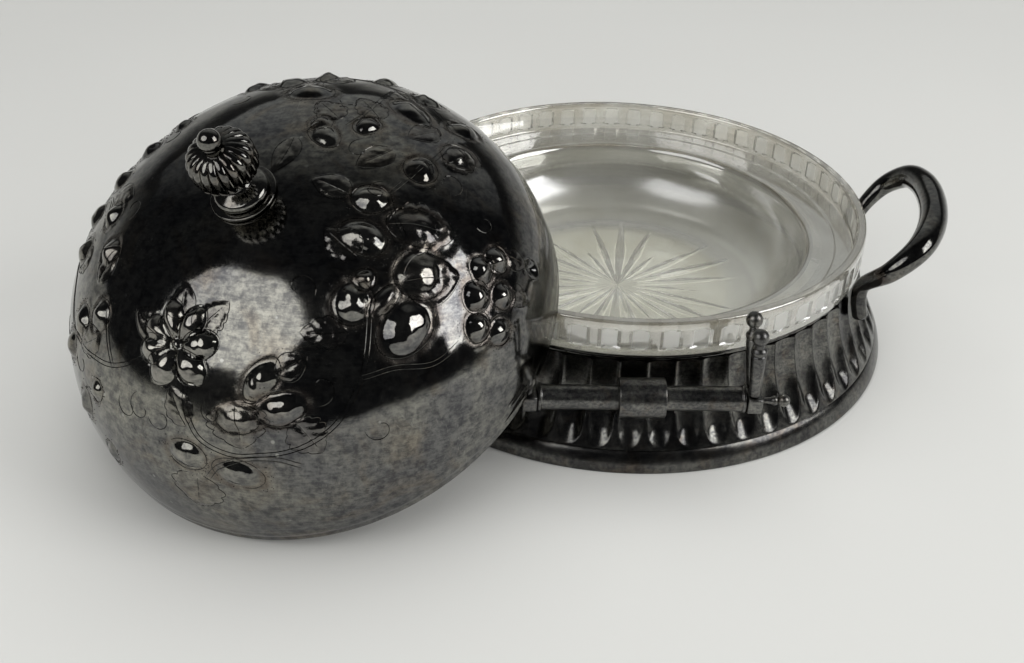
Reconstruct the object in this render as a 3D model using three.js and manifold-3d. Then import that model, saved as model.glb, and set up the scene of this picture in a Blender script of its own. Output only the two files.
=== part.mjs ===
// Covered cheese dish: a fluted metal base with two loop handles and a knife rest, a pressed-glass
// liner with a cut star, and a repousse dome with a turned knob, taken off and leaning on the rim.
// Millimetres, +Z up, +X towards the right-hand handle, the knife rest on the -Y side.
import * as THREE from "three";
import { mergeVertices } from "three/addons/utils/BufferGeometryUtils.js";
import Module from "manifold-3d";

const FIT = 0.3; // gap wherever one piece rests on, or passes through, its neighbour

// Glass liner; its rim radius drives the whole dish
const RIM_RADIUS = 80;
const RIM_HEIGHT = 0.149 * RIM_RADIUS;
const RIM_WALL = 3.2;
const STEP_RADIUS = RIM_RADIUS - 8.6;
const STEP_DROP = 0.4;
const LEDGE_THICKNESS = 2.3;
const MOUTH_RADIUS = RIM_RADIUS - 18.5;
const FLOOR_RADIUS = MOUTH_RADIUS - 10.5;
const FLOOR_THICKNESS = 2.5;
const BOWL_DROP = 0.315 * RIM_RADIUS; // ledge to floor
const BLOCKS = 56;
const BLOCK_WIDTH = (0.62 * 2 * Math.PI * RIM_RADIUS) / BLOCKS;
const BLOCK_HEIGHT = RIM_HEIGHT - 5.1;
const BLOCK_DEPTH = RIM_WALL / 4;
const STAR_RAYS = 24;
const STAR_RADIUS = FLOOR_RADIUS - 3;
const STAR_CUT = 0.36 * FLOOR_THICKNESS;

// Fluted skirt and foot band
const SKIRT_TOP_RADIUS = RIM_RADIUS + 0.1;
const SKIRT_HEIGHT = 0.311 * RIM_RADIUS;
const FLARE = 0.47 * SKIRT_HEIGHT; // from the skirt's top out to the foot
const FLUTES = 62;
const FLUTE_DEPTH = 1.3;
const FLUTE_START = -88; // azimuth of one ridge, degrees
const SHEET = 0.9;
const FOOT_RADIUS = SKIRT_TOP_RADIUS + FLARE;
const FOOT_HEIGHT = 0.27 * SKIRT_HEIGHT;
const FOOT_WALL = 2.2;

// Seat ring that carries the glass
const SEAT_BORE = MOUTH_RADIUS + 5.5;
const SEAT_THICKNESS = 1.2;

const SKIRT_BOTTOM = FOOT_HEIGHT + FIT;
const SKIRT_TOP = SKIRT_BOTTOM + SKIRT_HEIGHT;
const SEAT_BOTTOM = SKIRT_TOP + FIT;
const SEAT_TOP = SEAT_BOTTOM + SEAT_THICKNESS;
const GLASS_BOTTOM = SEAT_TOP + FIT;
const LEDGE = GLASS_BOTTOM + LEDGE_THICKNESS;
const GLASS_TOP = GLASS_BOTTOM + RIM_HEIGHT;
const FLOOR_TOP = LEDGE - BOWL_DROP;

// Loop handles
const HANDLE_TURN = -11.5; // azimuth of the right-hand handle, degrees
const HANDLE_FOOT_ANGLE = 18; // half the angle between the two feet, degrees
const HANDLE_REACH = 1.234 * RIM_RADIUS;
const HANDLE_RISE = 1.2 * GLASS_TOP;
const HANDLE_BULGE = 4.5; // how far the loop swells past its feet, each way
const HANDLE_END_RADIUS = 2.5;
const HANDLE_MIDDLE_RADIUS = 4.5;

// Knife rest
const REST_HEIGHT = 0.81 * SKIRT_TOP;
const REST_OFFSET = 0.7; // middle of the bar, to the right of the dish centre
const REST_TURN = 1.9; // degrees about +Z, as it was soldered on
const REST_SPREAD = 0.4 * RIM_RADIUS; // middle of the bar to the middle of a fork block
const REST_BAR_RADIUS = 3.4;
const REST_FLANGE_RADIUS = REST_BAR_RADIUS + 0.6;
const SLEEVE_RADIUS = REST_BAR_RADIUS + 2.4;
const SLEEVE_LENGTH = 13.4;
const BLOCK_THICKNESS = 4.2;
const PRONG_LENGTH = 0.304 * RIM_RADIUS; // bar axis to ball centre
const PRONG_RADIUS = 1.75;
const PRONG_SPREAD = 6; // degrees each prong leans to the front or back
const PRONG_BALL_RADIUS = PRONG_RADIUS + 0.65;
const FORK_LEAN = 4.5; // degrees towards -X, bent by use; the left fork as much more as clears the dome
const END_LENGTH = 8.5;
const END_BALL_RADIUS = 1.6;

// Dome, as it lies: lowest point of its rim on the table, leaning on the glass rim
const DOME_RADIUS = RIM_RADIUS - 7.3;
const DOME_HEIGHT = 0.802 * DOME_RADIUS;
const DOME_ROUNDNESS = 2.2; // exponent of the profile curve
const DOME_WALL = 0.9;
const DOME_TILT = 28.6; // degrees
const DOME_LEAN_AZIMUTH = 242; // direction in which its axis leans, degrees
const DOME_REST_GAP = 0.5; // over the glass rim, to clear the wall's inner edge
const DOME_BEARING = 213.3; // azimuth of its rim centre seen from the dish, degrees

// Knob
const STUD_RADIUS = 1.3;
const PLATE_RADIUS = 9;
const PLATE_THICKNESS = 0.8;
const FLANGE_RADIUS = PLATE_RADIUS - 1.5;
const WAIST_RADIUS = STUD_RADIUS + 2.1;
const MELON_RADIUS = 9;
const MELON_HALF_HEIGHT = 6;
const MELON_RISE = MELON_HALF_HEIGHT + 7.8; // crown to the middle of the melon
const MELON_LOBES = 20;
const KNOB_BALL_RADIUS = STUD_RADIUS + 1.8;
const KNOB_BALL_RISE = MELON_RISE + MELON_HALF_HEIGHT + 1.8;

const rad = THREE.MathUtils.degToRad;
const wasm = await Module();
wasm.setup();

// Solids

function solid(geometry) {
  const bare = geometry.clone();
  bare.deleteAttribute("normal");
  bare.deleteAttribute("uv");
  const merged = mergeVertices(bare, 1e-4);
  const faces = [];
  for (let i = 0; i < merged.index.count; i += 3) {
    const [a, b, c] = [0, 1, 2].map((k) => merged.index.getX(i + k));
    if (a !== b && b !== c && c !== a) faces.push(a, b, c);
  }
  const build = (triangles) =>
    new wasm.Manifold(
      new wasm.Mesh({
        numProp: 3,
        vertProperties: new Float32Array(merged.attributes.position.array),
        triVerts: new Uint32Array(triangles),
      }),
    );
  const made = build(faces);
  if (made.volume() > 0) return made;
  return build(faces.map((_, i) => faces[i - (i % 3) + 2 - (i % 3)]));
}

function geometryOf(body) {
  const mesh = body.getMesh();
  const positions = new Float32Array(mesh.numVert * 3);
  for (let i = 0; i < mesh.numVert; i++) {
    positions.set(mesh.vertProperties.subarray(i * mesh.numProp, i * mesh.numProp + 3), i * 3);
  }
  const geometry = new THREE.BufferGeometry();
  geometry.setAttribute("position", new THREE.BufferAttribute(positions, 3));
  geometry.setIndex(new THREE.BufferAttribute(mesh.triVerts, 1));
  geometry.computeVertexNormals();
  return geometry;
}

const united = (bodies) => bodies.reduce((all, one) => all.add(one));

// A solid turned about +Z from a profile of [radius, height] pairs; one that starts away from the
// axis closes on itself.
function turned(profile, segments) {
  const points = profile.map(([r, z]) => new THREE.Vector2(Math.max(r, 0), z));
  if (profile[0][0] > 0) points.push(points[0].clone());
  return new THREE.LatheGeometry(points, segments).rotateX(Math.PI / 2);
}

// A closed skin through rings of equal point count, its two ends shut by fans.
function loft(rings) {
  const count = rings[0].length;
  const positions = rings.flat().flatMap((p) => [p.x, p.y, p.z]);
  const faces = [];
  for (let i = 0; i < rings.length - 1; i++) {
    for (let j = 0; j < count; j++) {
      const a = i * count + j;
      const b = i * count + ((j + 1) % count);
      faces.push(a, b, a + count, b, b + count, a + count);
    }
  }
  for (const [ring, flip] of [[0, true], [rings.length - 1, false]]) {
    const centre = new THREE.Vector3();
    rings[ring].forEach((p) => centre.addScaledVector(p, 1 / count));
    const middle = positions.length / 3;
    positions.push(centre.x, centre.y, centre.z);
    for (let j = 0; j < count; j++) {
      const a = ring * count + j;
      const b = ring * count + ((j + 1) % count);
      faces.push(...(flip ? [b, a, middle] : [a, b, middle]));
    }
  }
  const geometry = new THREE.BufferGeometry();
  geometry.setAttribute("position", new THREE.Float32BufferAttribute(positions, 3));
  geometry.setIndex(faces);
  return geometry;
}

const SILVER = { color: 0x1c1b1a, roughness: 0.22, metalness: 1 };
const GLASS = { color: 0xcfcfc6, roughness: 0.08, metalness: 0, transparent: true, opacity: 0.35 };

function piece(name, geometry, look = SILVER) {
  const mesh = new THREE.Mesh(geometry, new THREE.MeshStandardMaterial(look));
  mesh.name = name;
  return mesh;
}

const dish = new THREE.Group();
const dome = new THREE.Group();

// Dome profile and place. It is drawn about its own axis, rim at height 0, +X its downhill side.

// The share of its height left at a share of its radius, or the other way round.
function domeCurve(share) {
  return Math.pow(1 - Math.pow(Math.min(share, 1), DOME_ROUNDNESS), 1 / DOME_ROUNDNESS);
}

// The dome's rest pose: its lowest rim point on the table, its rim just over the glass rim.

const tilt = rad(DOME_TILT);
const lean = rad(DOME_LEAN_AZIMUTH);
const axis = new THREE.Vector3(
  Math.sin(tilt) * Math.cos(lean),
  Math.sin(tilt) * Math.sin(lean),
  Math.cos(tilt),
);
const downhill = new THREE.Vector3(
  Math.cos(tilt) * Math.cos(lean),
  Math.cos(tilt) * Math.sin(lean),
  -Math.sin(tilt),
);
const across = axis.clone().cross(downhill);

// Height of the rim's edge where it first comes over the glass, for a rim centre at this distance.
function rimOverGlass(distance) {
  let lowest = Infinity;
  for (let i = 0; i < 720; i++) {
    const angle = rad(i / 2);
    const x = distance * Math.cos(rad(DOME_BEARING));
    const y = distance * Math.sin(rad(DOME_BEARING));
    const edge = downhill
      .clone()
      .multiplyScalar(Math.cos(angle))
      .addScaledVector(across, Math.sin(angle))
      .multiplyScalar(DOME_RADIUS);
    if (Math.hypot(x + edge.x, y + edge.y) < RIM_RADIUS) {
      lowest = Math.min(lowest, edge.z + DOME_RADIUS * Math.sin(tilt));
    }
  }
  return lowest;
}

let near = RIM_RADIUS;
let far = RIM_RADIUS + DOME_RADIUS;
for (let i = 0; i < 30; i++) {
  const middle = (near + far) / 2;
  if (rimOverGlass(middle) < GLASS_TOP + DOME_REST_GAP) near = middle;
  else far = middle;
}
const domePlace = new THREE.Matrix4().makeBasis(downhill, across, axis);
domePlace.setPosition(
  far * Math.cos(rad(DOME_BEARING)),
  far * Math.sin(rad(DOME_BEARING)),
  DOME_RADIUS * Math.sin(tilt),
);

// Foot band

dish.add(
  piece(
    "foot_band",
    turned(
      [
        [FOOT_RADIUS - FOOT_WALL, 0],
        [FOOT_RADIUS, 0],
        [FOOT_RADIUS, 0.5 * FOOT_HEIGHT],
        [FOOT_RADIUS - 1.3, 0.72 * FOOT_HEIGHT],
        [FOOT_RADIUS - 1, FOOT_HEIGHT],
        [FOOT_RADIUS - FOOT_WALL - 0.6, FOOT_HEIGHT],
      ],
      FLUTES,
    ),
  ),
);

// Fluted skirt

const SKIRT_CURVE = new THREE.CubicBezierCurve(
  new THREE.Vector2(SKIRT_TOP_RADIUS, SKIRT_TOP),
  ...[
    [0.12, 0.42],
    [0.77, 0.56],
    [1, 1],
  ].map(
    ([out, down]) =>
      new THREE.Vector2(
        THREE.MathUtils.lerp(SKIRT_TOP_RADIUS, FOOT_RADIUS - 1, out),
        SKIRT_TOP - down * SKIRT_HEIGHT,
      ),
  ),
);

// Radius of the skirt's ridges at height z.
function skirtRadius(z) {
  let low = 0;
  let high = 1;
  for (let i = 0; i < 30; i++) {
    const middle = (low + high) / 2;
    if (SKIRT_CURVE.getPoint(middle).y > z) low = middle;
    else high = middle;
  }
  return SKIRT_CURVE.getPoint(low).x;
}

function fluteRing(share, fade) {
  const z = SKIRT_BOTTOM + share * SKIRT_HEIGHT;
  const ring = [];
  for (let i = 0; i < FLUTES * 3; i++) {
    const angle = rad(FLUTE_START) + (i / (FLUTES * 3)) * 2 * Math.PI;
    const r = skirtRadius(z) - (i % 3 ? FLUTE_DEPTH * fade : 0);
    ring.push(new THREE.Vector3(r * Math.cos(angle), r * Math.sin(angle), z));
  }
  return ring;
}

const skirtOutside = solid(
  loft([
    fluteRing(0, 0),
    fluteRing(0.045, 0.55),
    fluteRing(0.13, 1),
    fluteRing(0.28, 1),
    fluteRing(0.45, 1),
    fluteRing(0.68, 1),
    fluteRing(1, 1),
  ]),
);
const skirtInside = [-0.05, 0.13, 0.28, 0.55, 1.05].map((share) => {
  const z = SKIRT_BOTTOM + share * SKIRT_HEIGHT;
  return [skirtRadius(z) - FLUTE_DEPTH - SHEET, z];
});
const skirtHollow = solid(
  turned([[0, skirtInside[0][1]], ...skirtInside, [0, skirtInside.at(-1)[1]]], FLUTES),
);
dish.add(piece("base_skirt", geometryOf(skirtOutside.subtract(skirtHollow))));

// Seat ring

dish.add(
  piece(
    "seat_ring",
    turned(
      [
        [SEAT_BORE, SEAT_BOTTOM],
        [SKIRT_TOP_RADIUS - 0.4, SEAT_BOTTOM],
        [SKIRT_TOP_RADIUS - 0.4, SEAT_TOP],
        [SEAT_BORE, SEAT_TOP],
      ],
      FLUTES,
    ),
  ),
);

// Glass liner

const glassBody = solid(
  turned(
    [
      [0, FLOOR_TOP - FLOOR_THICKNESS],
      [FLOOR_RADIUS - 0.5, FLOOR_TOP - FLOOR_THICKNESS],
      [FLOOR_RADIUS + 3.8, FLOOR_TOP - 0.6],
      [MOUTH_RADIUS - 2.5, FLOOR_TOP + 0.4 * BOWL_DROP],
      [SEAT_BORE - 1.4, GLASS_BOTTOM],
      [RIM_RADIUS - 0.8, GLASS_BOTTOM],
      [RIM_RADIUS, GLASS_BOTTOM + 0.9],
      [RIM_RADIUS, GLASS_TOP - 0.9],
      [RIM_RADIUS - 0.8, GLASS_TOP],
      [RIM_RADIUS - RIM_WALL + 0.7, GLASS_TOP],
      [RIM_RADIUS - RIM_WALL, GLASS_TOP - 0.7],
      [RIM_RADIUS - RIM_WALL, LEDGE],
      [STEP_RADIUS, LEDGE],
      [STEP_RADIUS - 0.3, LEDGE - STEP_DROP],
      [MOUTH_RADIUS + 1.1, LEDGE - STEP_DROP],
      [MOUTH_RADIUS - 0.3, LEDGE - STEP_DROP - 1.2],
      [MOUTH_RADIUS - 3, FLOOR_TOP + 0.55 * BOWL_DROP],
      [FLOOR_RADIUS + 4.5, FLOOR_TOP + 4.2],
      [FLOOR_RADIUS - 1, FLOOR_TOP],
      [0, FLOOR_TOP],
    ],
    BLOCKS,
  ).rotateZ(Math.PI / BLOCKS),
);

// One hollowed block on the outside of the glass rim.
function blockCut(index) {
  const box = new THREE.BoxGeometry(2 * BLOCK_DEPTH, BLOCK_WIDTH, BLOCK_HEIGHT);
  box.translate(RIM_RADIUS, 0, LEDGE + 0.3 + BLOCK_HEIGHT / 2);
  return solid(box.rotateZ((index / BLOCKS) * 2 * Math.PI));
}

// One ray of the star: a V-shaped cut that is widest a third of the way out, in the underside.
function rayCut(index) {
  const reach = STAR_RADIUS * (index % 2 ? 0.82 : 1);
  const under = FLOOR_TOP - FLOOR_THICKNESS;
  const wide = reach * 0.4;
  const half = index % 2 ? 1.3 : 1.7;
  const section = (x, w, top) => [
    new THREE.Vector3(x, -w, under - 0.5),
    new THREE.Vector3(x, w, under - 0.5),
    new THREE.Vector3(x, 0, under + top),
  ];
  const ray = loft([
    section(5, 0.25, 0.05),
    section(wide, half, STAR_CUT),
    section(reach, 0.15, 0.05),
  ]);
  return solid(ray.rotateZ((index / STAR_RAYS) * 2 * Math.PI));
}

const glassCuts = united([
  ...Array.from({ length: BLOCKS }, (_, i) => blockCut(i)),
  ...Array.from({ length: STAR_RAYS }, (_, i) => rayCut(i)),
]);
const liner = piece("glass_liner", geometryOf(glassBody.subtract(glassCuts)), GLASS);

// Handles: a round bar, thicker at its middle, whose two feet stand against the skirt.

const FOOT_AXIS = rad(HANDLE_FOOT_ANGLE);
const onFootAxis = (r, z) => new THREE.Vector3(r * Math.cos(FOOT_AXIS), r * Math.sin(FOOT_AXIS), z);
const legRadius = HANDLE_END_RADIUS + FIT;
const neck = RIM_RADIUS + 1 + HANDLE_END_RADIUS;
const handleHalfWidth = neck * Math.sin(FOOT_AXIS) + HANDLE_BULGE;
const halfHandle = [
  onFootAxis(skirtRadius(SKIRT_TOP - 6.9) + legRadius, SKIRT_TOP - 6.4),
  onFootAxis(Math.max(neck - 0.4, SKIRT_TOP_RADIUS + legRadius), SKIRT_TOP),
  onFootAxis(neck, GLASS_BOTTOM + 3.3),
  new THREE.Vector3(
    neck + 2.6,
    handleHalfWidth,
    THREE.MathUtils.lerp(GLASS_BOTTOM, HANDLE_RISE, 0.56),
  ),
  new THREE.Vector3(HANDLE_REACH - 6, 0.885 * handleHalfWidth, HANDLE_RISE - 3.1),
  new THREE.Vector3(HANDLE_REACH - 1.9, 0.56 * handleHalfWidth, HANDLE_RISE - 0.6),
];
const mirrored = (p) => new THREE.Vector3(p.x, -p.y, p.z);
const handlePath = new THREE.CatmullRomCurve3(
  [
    ...halfHandle,
    new THREE.Vector3(HANDLE_REACH, 0, HANDLE_RISE),
    ...halfHandle.map(mirrored).reverse(),
  ],
  false,
  "centripetal",
);

function barLoft(path, radiusAt, steps, sides) {
  const frames = path.computeFrenetFrames(steps, false);
  const rings = [];
  for (let i = 0; i <= steps; i++) {
    const centre = path.getPointAt(i / steps);
    const ring = [];
    for (let j = 0; j < sides; j++) {
      const angle = (j / sides) * 2 * Math.PI;
      ring.push(
        centre
          .clone()
          .addScaledVector(frames.normals[i], radiusAt(i / steps) * Math.cos(angle))
          .addScaledVector(frames.binormals[i], radiusAt(i / steps) * Math.sin(angle)),
      );
    }
    rings.push(ring);
  }
  return loft(rings);
}

const handleSwell = (u) =>
  THREE.MathUtils.lerp(
    HANDLE_END_RADIUS,
    HANDLE_MIDDLE_RADIUS,
    THREE.MathUtils.smoothstep(Math.sin(u * Math.PI), 0.25, 1),
  );
const handleGeometry = barLoft(handlePath, handleSwell, 30, 9);
for (const [name, turn] of [
  ["handle_right", HANDLE_TURN],
  ["handle_left", 180 + HANDLE_TURN],
]) {
  const handle = piece(name, geometryOf(solid(handleGeometry)));
  handle.rotation.z = rad(turn);
  dish.add(handle);
}

// Knife rest: a sleeve against the skirt, a bar through it, and a two-pronged fork at each end.

const restReach = Math.max(
  ...Array.from({ length: 25 }, (_, i) => {
    const rise = (i / 12 - 1) * SLEEVE_RADIUS;
    const clear = SLEEVE_RADIUS + FIT + 0.1;
    return skirtRadius(REST_HEIGHT + rise) + Math.sqrt(clear * clear - rise * rise);
  }),
);
const rest = new THREE.Group();
rest.position.set(REST_OFFSET, -restReach, REST_HEIGHT);
rest.rotation.z = rad(REST_TURN);
dish.add(rest);

rest.add(
  piece(
    "rest_sleeve",
    turned(
      [
        [REST_BAR_RADIUS + FIT, -SLEEVE_LENGTH / 2],
        [SLEEVE_RADIUS - 0.3, -SLEEVE_LENGTH / 2],
        [SLEEVE_RADIUS, 0.3 - SLEEVE_LENGTH / 2],
        [SLEEVE_RADIUS, SLEEVE_LENGTH / 2 - 0.3],
        [SLEEVE_RADIUS - 0.3, SLEEVE_LENGTH / 2],
        [REST_BAR_RADIUS + FIT, SLEEVE_LENGTH / 2],
      ],
      28,
    ).rotateY(Math.PI / 2),
  ),
);

const barHalf = REST_SPREAD - BLOCK_THICKNESS / 2 - FIT;
rest.add(
  piece(
    "rest_bar",
    turned(
      [
        [0, -barHalf],
        [REST_FLANGE_RADIUS, -barHalf],
        [REST_FLANGE_RADIUS, 0.8 - barHalf],
        [REST_BAR_RADIUS, 1.2 - barHalf],
        [REST_BAR_RADIUS, barHalf - 1.2],
        [REST_FLANGE_RADIUS, barHalf - 0.8],
        [REST_FLANGE_RADIUS, barHalf],
        [0, barHalf],
      ],
      24,
    ).rotateY(Math.PI / 2),
  ),
);

// The fork block, seen along the bar: flat on top for the prongs, rounded below.
const blockShape = new THREE.Shape();
blockShape.moveTo(-4.3, 2.4);
blockShape.lineTo(-4.3, -0.4);
blockShape.quadraticCurveTo(-4.1, -2.2, -2.2, -2.4);
blockShape.lineTo(2.2, -2.4);
blockShape.quadraticCurveTo(4.1, -2.2, 4.3, -0.4);
blockShape.lineTo(4.3, 2.4);
const blockGeometry = new THREE.ExtrudeGeometry(blockShape, {
  depth: BLOCK_THICKNESS - 0.6,
  bevelEnabled: true,
  bevelThickness: 0.3,
  bevelSize: 0.3,
  bevelSegments: 1,
  curveSegments: 3,
})
  .translate(0, 0, 0.3 - BLOCK_THICKNESS / 2)
  .rotateX(Math.PI / 2)
  .rotateZ(Math.PI / 2);

const BLOCK_TOP = 2.7;

// A prong along +Z from the bar's axis; its foot clears the block when it leans this many degrees.
function prongSolid(lean) {
  const dip = PRONG_RADIUS * (Math.sin(rad(lean)) + Math.sin(rad(PRONG_SPREAD)));
  const foot = (BLOCK_TOP + FIT / 2 + dip) / Math.cos(rad(lean));
  const ball = [-50, -20, 15, 50].map((turn) => [
    PRONG_BALL_RADIUS * Math.cos(rad(turn)),
    PRONG_LENGTH + PRONG_BALL_RADIUS * Math.sin(rad(turn)),
  ]);
  return solid(
    turned(
      [
        [0, foot],
        [0.82 * PRONG_RADIUS, foot],
        [PRONG_RADIUS, PRONG_LENGTH - 8.2],
        [0.85 * PRONG_RADIUS, PRONG_LENGTH - 6.7],
        [0.7 * PRONG_RADIUS, PRONG_LENGTH - 6.2],
        [1.12 * PRONG_RADIUS, PRONG_LENGTH - 5],
        [0.6 * PRONG_RADIUS, PRONG_LENGTH - 3.8],
        [0.6 * PRONG_RADIUS, PRONG_LENGTH - 0.88 * PRONG_BALL_RADIUS],
        ...ball,
        [0, PRONG_LENGTH + PRONG_BALL_RADIUS],
      ],
      10,
    ),
  );
}

const END_START = BLOCK_THICKNESS / 2 + FIT;
const endGeometry = turned(
  [
    [0, END_START],
    [0.5 * END_BALL_RADIUS, END_START],
    [0.5 * END_BALL_RADIUS, END_START + 0.36 * END_LENGTH],
    [0.75 * END_BALL_RADIUS, END_START + 0.46 * END_LENGTH],
    [0.5 * END_BALL_RADIUS, END_START + 0.58 * END_LENGTH],
    [0.95 * END_BALL_RADIUS, END_START + 0.74 * END_LENGTH],
    [0.95 * END_BALL_RADIUS, END_START + 0.86 * END_LENGTH],
    [0, END_START + END_LENGTH],
  ],
  10,
).rotateY(Math.PI / 2);

// Least room between the dome's inside and the left fork's front prong, leaning this many degrees.
rest.updateWorldMatrix(true, false);
const intoDome = domePlace.clone().invert().multiply(rest.matrixWorld);
function prongRoom(lean) {
  const rooms = [0.4, 0.6, 0.8, 1].map((share) => {
    const p = new THREE.Vector3(0, 0, share * PRONG_LENGTH)
      .applyAxisAngle(new THREE.Vector3(1, 0, 0), rad(PRONG_SPREAD))
      .add(new THREE.Vector3(0, -PRONG_RADIUS - 0.2, 0))
      .applyAxisAngle(new THREE.Vector3(0, 1, 0), -rad(lean))
      .add(new THREE.Vector3(-REST_SPREAD, 0, 0))
      .applyMatrix4(intoDome);
    if (p.z < -PRONG_RADIUS) return Infinity;
    const wall = DOME_RADIUS * domeCurve(Math.max(p.z, 0) / DOME_HEIGHT) - DOME_WALL;
    return wall - Math.hypot(p.x, p.y) - (share === 1 ? PRONG_BALL_RADIUS : PRONG_RADIUS);
  });
  return Math.min(...rooms);
}
let leftLean = FORK_LEAN;
while (prongRoom(leftLean) < 2 * FIT && leftLean < 40) leftLean += 0.25;

for (const [side, x, lean] of [
  ["left", -REST_SPREAD, leftLean],
  ["right", REST_SPREAD, FORK_LEAN],
]) {
  const fork = new THREE.Group();
  fork.position.x = x;
  const prongs = new THREE.Group();
  prongs.rotation.y = -rad(lean);
  fork.add(prongs);
  fork.add(piece("rest_block_" + side, geometryOf(solid(blockGeometry))));
  for (const [place, sign] of [
    ["front", -1],
    ["back", 1],
  ]) {
    const prong = piece("prong_" + side + "_" + place, geometryOf(prongSolid(lean)));
    prong.position.y = sign * (PRONG_RADIUS + 0.2);
    prong.rotation.x = -sign * rad(PRONG_SPREAD);
    prongs.add(prong);
  }
  const end = piece("rest_end_" + side, geometryOf(solid(endGeometry)));
  end.rotation.y = x < 0 ? Math.PI : 0;
  fork.add(end);
  rest.add(fork);
}

// Dome shell

const BORE = STUD_RADIUS + FIT;

// The round hole for the stud, between two heights.
function studHole(bottom, top) {
  return solid(turned([[0, bottom], [BORE, bottom], [BORE, top], [0, top]], 16));
}

// Profile of the dome from its rim to its crown.
function domeProfile(radius, height, steps) {
  return Array.from({ length: steps + 1 }, (_, i) => {
    const angle = (i / steps) * (Math.PI / 2);
    const r = radius * Math.pow(Math.cos(angle), 2 / DOME_ROUNDNESS);
    return i === steps ? [0, height] : [r, height * domeCurve(r / radius)];
  });
}

// A raised boss at a share of the dome's radius: length along the meridian, width across it, turn
// about the surface normal.
function boss(azimuth, share, length, width, rise, turn = 0) {
  const r = share * DOME_RADIUS;
  const ball = new THREE.SphereGeometry(1, 7, 5).rotateX(Math.PI / 2);
  ball.scale(length / 2, width / 2, rise);
  const onShell = (distance) => DOME_HEIGHT * domeCurve(distance / DOME_RADIUS);
  const slope = (onShell(r + 0.1) - onShell(r - 0.1)) / 0.2;
  ball.rotateZ(rad(turn));
  ball.rotateY(-Math.atan(slope));
  ball.translate(r, 0, onShell(r));
  return solid(ball.rotateZ(rad(azimuth)));
}

// A flower of seven petals round a small centre.
function flower(azimuth, share) {
  const petals = Array.from({ length: 7 }, (_, i) => {
    const angle = (i / 7) * 2 * Math.PI;
    const out = share + 0.091 * Math.cos(angle);
    const aside = THREE.MathUtils.radToDeg((0.091 * Math.sin(angle)) / share);
    return boss(azimuth + aside, out, 6.4, 5, 1.5, THREE.MathUtils.radToDeg(angle));
  });
  return [boss(azimuth, share, 5, 5, 1.2), ...petals];
}

// Sprays of fruit and buds [azimuth, share of the radius, length, width]
const PEARS = [
  [92, 0.699, 13, 10], [78, 0.736, 10, 14], [112, 0.447, 8, 9], [92, 0.437, 8, 10],
];
const APPLES = [
  [93, 0.536, 8, 8], [105, 0.633, 9, 9], [68, 0.591, 8, 8], [75, 0.644, 7, 8], [75, 0.798, 7, 7],
];
const GRAPES = [
  [100, 0.839], [105.5, 0.867], [94, 0.846], [98, 0.901], [88, 0.88], [91, 0.926],
];
const BUDS = [
  [33, 0.66, 9, 7], [36, 0.757, 10, 7], [24, 0.77, 10, 6], [9, 0.86, 10, 7], [20, 0.894, 9, 6],
  [-34, 0.651, 8, 7], [-41, 0.743, 8, 8], [-74, 0.605, 8, 7], [-55, 0.569, 8, 8], [-24, 0.839, 9, 7],
  [-172, 0.578, 9, 8], [172, 0.674, 9, 8], [156, 0.708, 9, 9], [169, 0.413, 8, 8], [155, 0.53, 8, 8],
  [-91, 0.702, 9, 8], [-106, 0.743, 10, 8], [-128, 0.688, 11, 9], [-141, 0.715, 9, 8],
  [-116, 0.853, 9, 8], [-154, 0.82, 10, 7], [-166, 0.76, 9, 8], [180, 0.85, 10, 7],
  [164, 0.83, 9, 8], [148, 0.84, 10, 7], [135, 0.76, 9, 8], [128, 0.62, 8, 8],
];

const bosses = [
  ...flower(1, 0.567),
  ...[...PEARS, ...APPLES].map(([azimuth, share, length, width]) =>
    boss(azimuth, share, length, width, 2.6),
  ),
  ...GRAPES.map(([azimuth, share]) => boss(azimuth, share, 6, 6, 2.2)),
  ...BUDS.map(([azimuth, share, length, width]) => boss(azimuth, share, length, width, 1.9)),
];
const domeInside = domeProfile(DOME_RADIUS - DOME_WALL, DOME_HEIGHT - DOME_WALL, 8);
const domeHollow = solid(turned([[0, -1], [domeInside[0][0], -1], ...domeInside], 52));
const domeShell = solid(turned([[0, 0], ...domeProfile(DOME_RADIUS, DOME_HEIGHT, 10)], 52))
  .add(united(bosses))
  .subtract(domeHollow)
  .subtract(studHole(0, DOME_HEIGHT + 3));
dome.add(piece("dome_shell", geometryOf(domeShell)));

// Knob, on the crown of the dome

const knob = new THREE.Group();
knob.position.z = DOME_HEIGHT;
dome.add(knob);
const PLATE_TOP = FIT + PLATE_THICKNESS;
const FLANGE_BOTTOM = PLATE_TOP + FIT;
const MELON_BOTTOM = MELON_RISE - MELON_HALF_HEIGHT;
const MELON_TOP = MELON_RISE + MELON_HALF_HEIGHT;

knob.add(
  piece(
    "knob_plate",
    turned([[BORE, FIT], [PLATE_RADIUS, FIT - 0.25], [PLATE_RADIUS, PLATE_TOP - 0.2], [BORE, PLATE_TOP]], 40),
  ),
);
knob.add(
  piece(
    "knob_flange",
    turned(
      [
        [BORE, FLANGE_BOTTOM],
        [FLANGE_RADIUS, FLANGE_BOTTOM],
        [FLANGE_RADIUS, FLANGE_BOTTOM + 0.7],
        [0.92 * FLANGE_RADIUS, FLANGE_BOTTOM + 1.8],
        [0.72 * FLANGE_RADIUS, FLANGE_BOTTOM + 3.1],
        [WAIST_RADIUS, FLANGE_BOTTOM + 3.9],
        [WAIST_RADIUS, MELON_BOTTOM - 1],
        [WAIST_RADIUS + 0.9, MELON_BOTTOM - FIT],
        [BORE, MELON_BOTTOM - FIT],
      ],
      32,
    ),
  ),
);

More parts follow.
